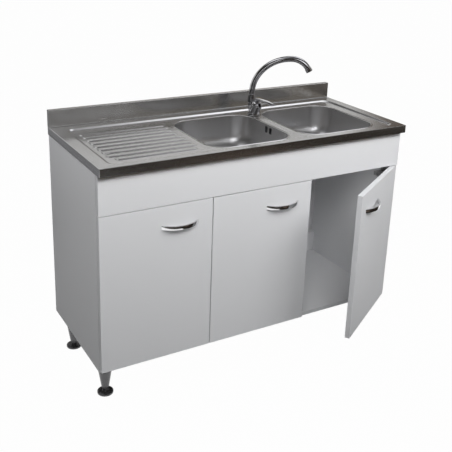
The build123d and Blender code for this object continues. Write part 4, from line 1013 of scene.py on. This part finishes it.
studio_card("card_front_high", (-0.25, -3.0, 2.9), (4.7, 1.0), FACING_Y,
            (0.5, 0.5, 0.51), (3.0, 3.0, 3.07), (-0.3, -3.0, 3.1), 2.6)

# ---------------------------------------------------------------- soft lamps
# Soft boxes round the unit light the matt boards and stay out of the metal. A weak one behind
# the right door's opening stands for the light that finds its way into the cabinet.


def soft_lamp(name, place, target, size, power):
    """A soft box aimed at a point, which no glossy surface shows."""
    data = bpy.data.lights.new(name, "AREA")
    data.shape = "RECTANGLE"
    data.size, data.size_y = size
    data.energy = power
    lamp = bpy.data.objects.new(name, data)
    lamp.location = place
    lamp.rotation_euler = (Vector(target) - Vector(place)).to_track_quat("-Z", "Y").to_euler()
    lamp.visible_glossy = False
    bpy.context.scene.collection.objects.link(lamp)


soft_lamp("key_lamp", (0.05, -0.8, 1.55), (0.05, -0.1, 0.8), (2.2, 0.35), 6.0)
soft_lamp("right_lamp", (1.3, -1.5, 1.9), (0.4, -0.2, 0.7), (0.9, 0.7), 20.0)
soft_lamp("side_lamp", (-1.5, 0.1, 1.9), (-0.6, 0.1, 0.7), (1.0, 0.5), 10.8)
soft_lamp("front_lamp", (-0.8, -1.9, 2.2), (0.2, 0.0, 0.6), (1.4, 0.8), 26.0)
soft_lamp("back_lamp", (0.7, 2.8, 1.7), (0.0, 0.4, 0.5), (2.4, 1.4), 45.0)
soft_lamp("cabinet_lamp", (0.38, -0.105, 0.54), (0.38, 0.3, 0.54), (0.32, 0.28), 0.17)

# ---------------------------------------------------------------- camera
# The camera of the photograph, fitted to the outlines of the unit. The picture is 452 pixels
# square, and was cropped so that the camera's own centre lies on row 156.

PHOTO_SIZE = 452.0
CENTRE_ROW = 156.0
FOCAL_PIXELS = 743.0
SENSOR = 36.0
CAMERA_AT = (-1.3263, -2.1125, 1.5742)
HEADING = radians(-30.607)
DIP = radians(18.072)
ROLL = radians(1.983)

camera_data = bpy.data.cameras.new("camera")
camera_data.sensor_width = SENSOR
camera_data.lens = FOCAL_PIXELS / PHOTO_SIZE * SENSOR
camera_data.shift_y = (CENTRE_ROW - PHOTO_SIZE / 2) / PHOTO_SIZE
camera_data.clip_end = 60.0
camera = bpy.data.objects.new("camera", camera_data)
forward = Vector((-sin(HEADING) * cos(DIP), cos(HEADING) * cos(DIP), -sin(DIP)))
level_right = Vector((cos(HEADING), sin(HEADING), 0.0))
level_up = level_right.cross(forward)
camera_right = level_right * cos(ROLL) + level_up * sin(ROLL)
camera_up = level_up * cos(ROLL) - level_right * sin(ROLL)
camera_axes = Matrix((camera_right, camera_up, -forward)).transposed()
camera.matrix_world = Matrix.Translation(CAMERA_AT) @ camera_axes.to_4x4()
bpy.context.scene.collection.objects.link(camera)
bpy.context.scene.camera = camera
bpy.context.scene.view_settings.view_transform = "Standard"
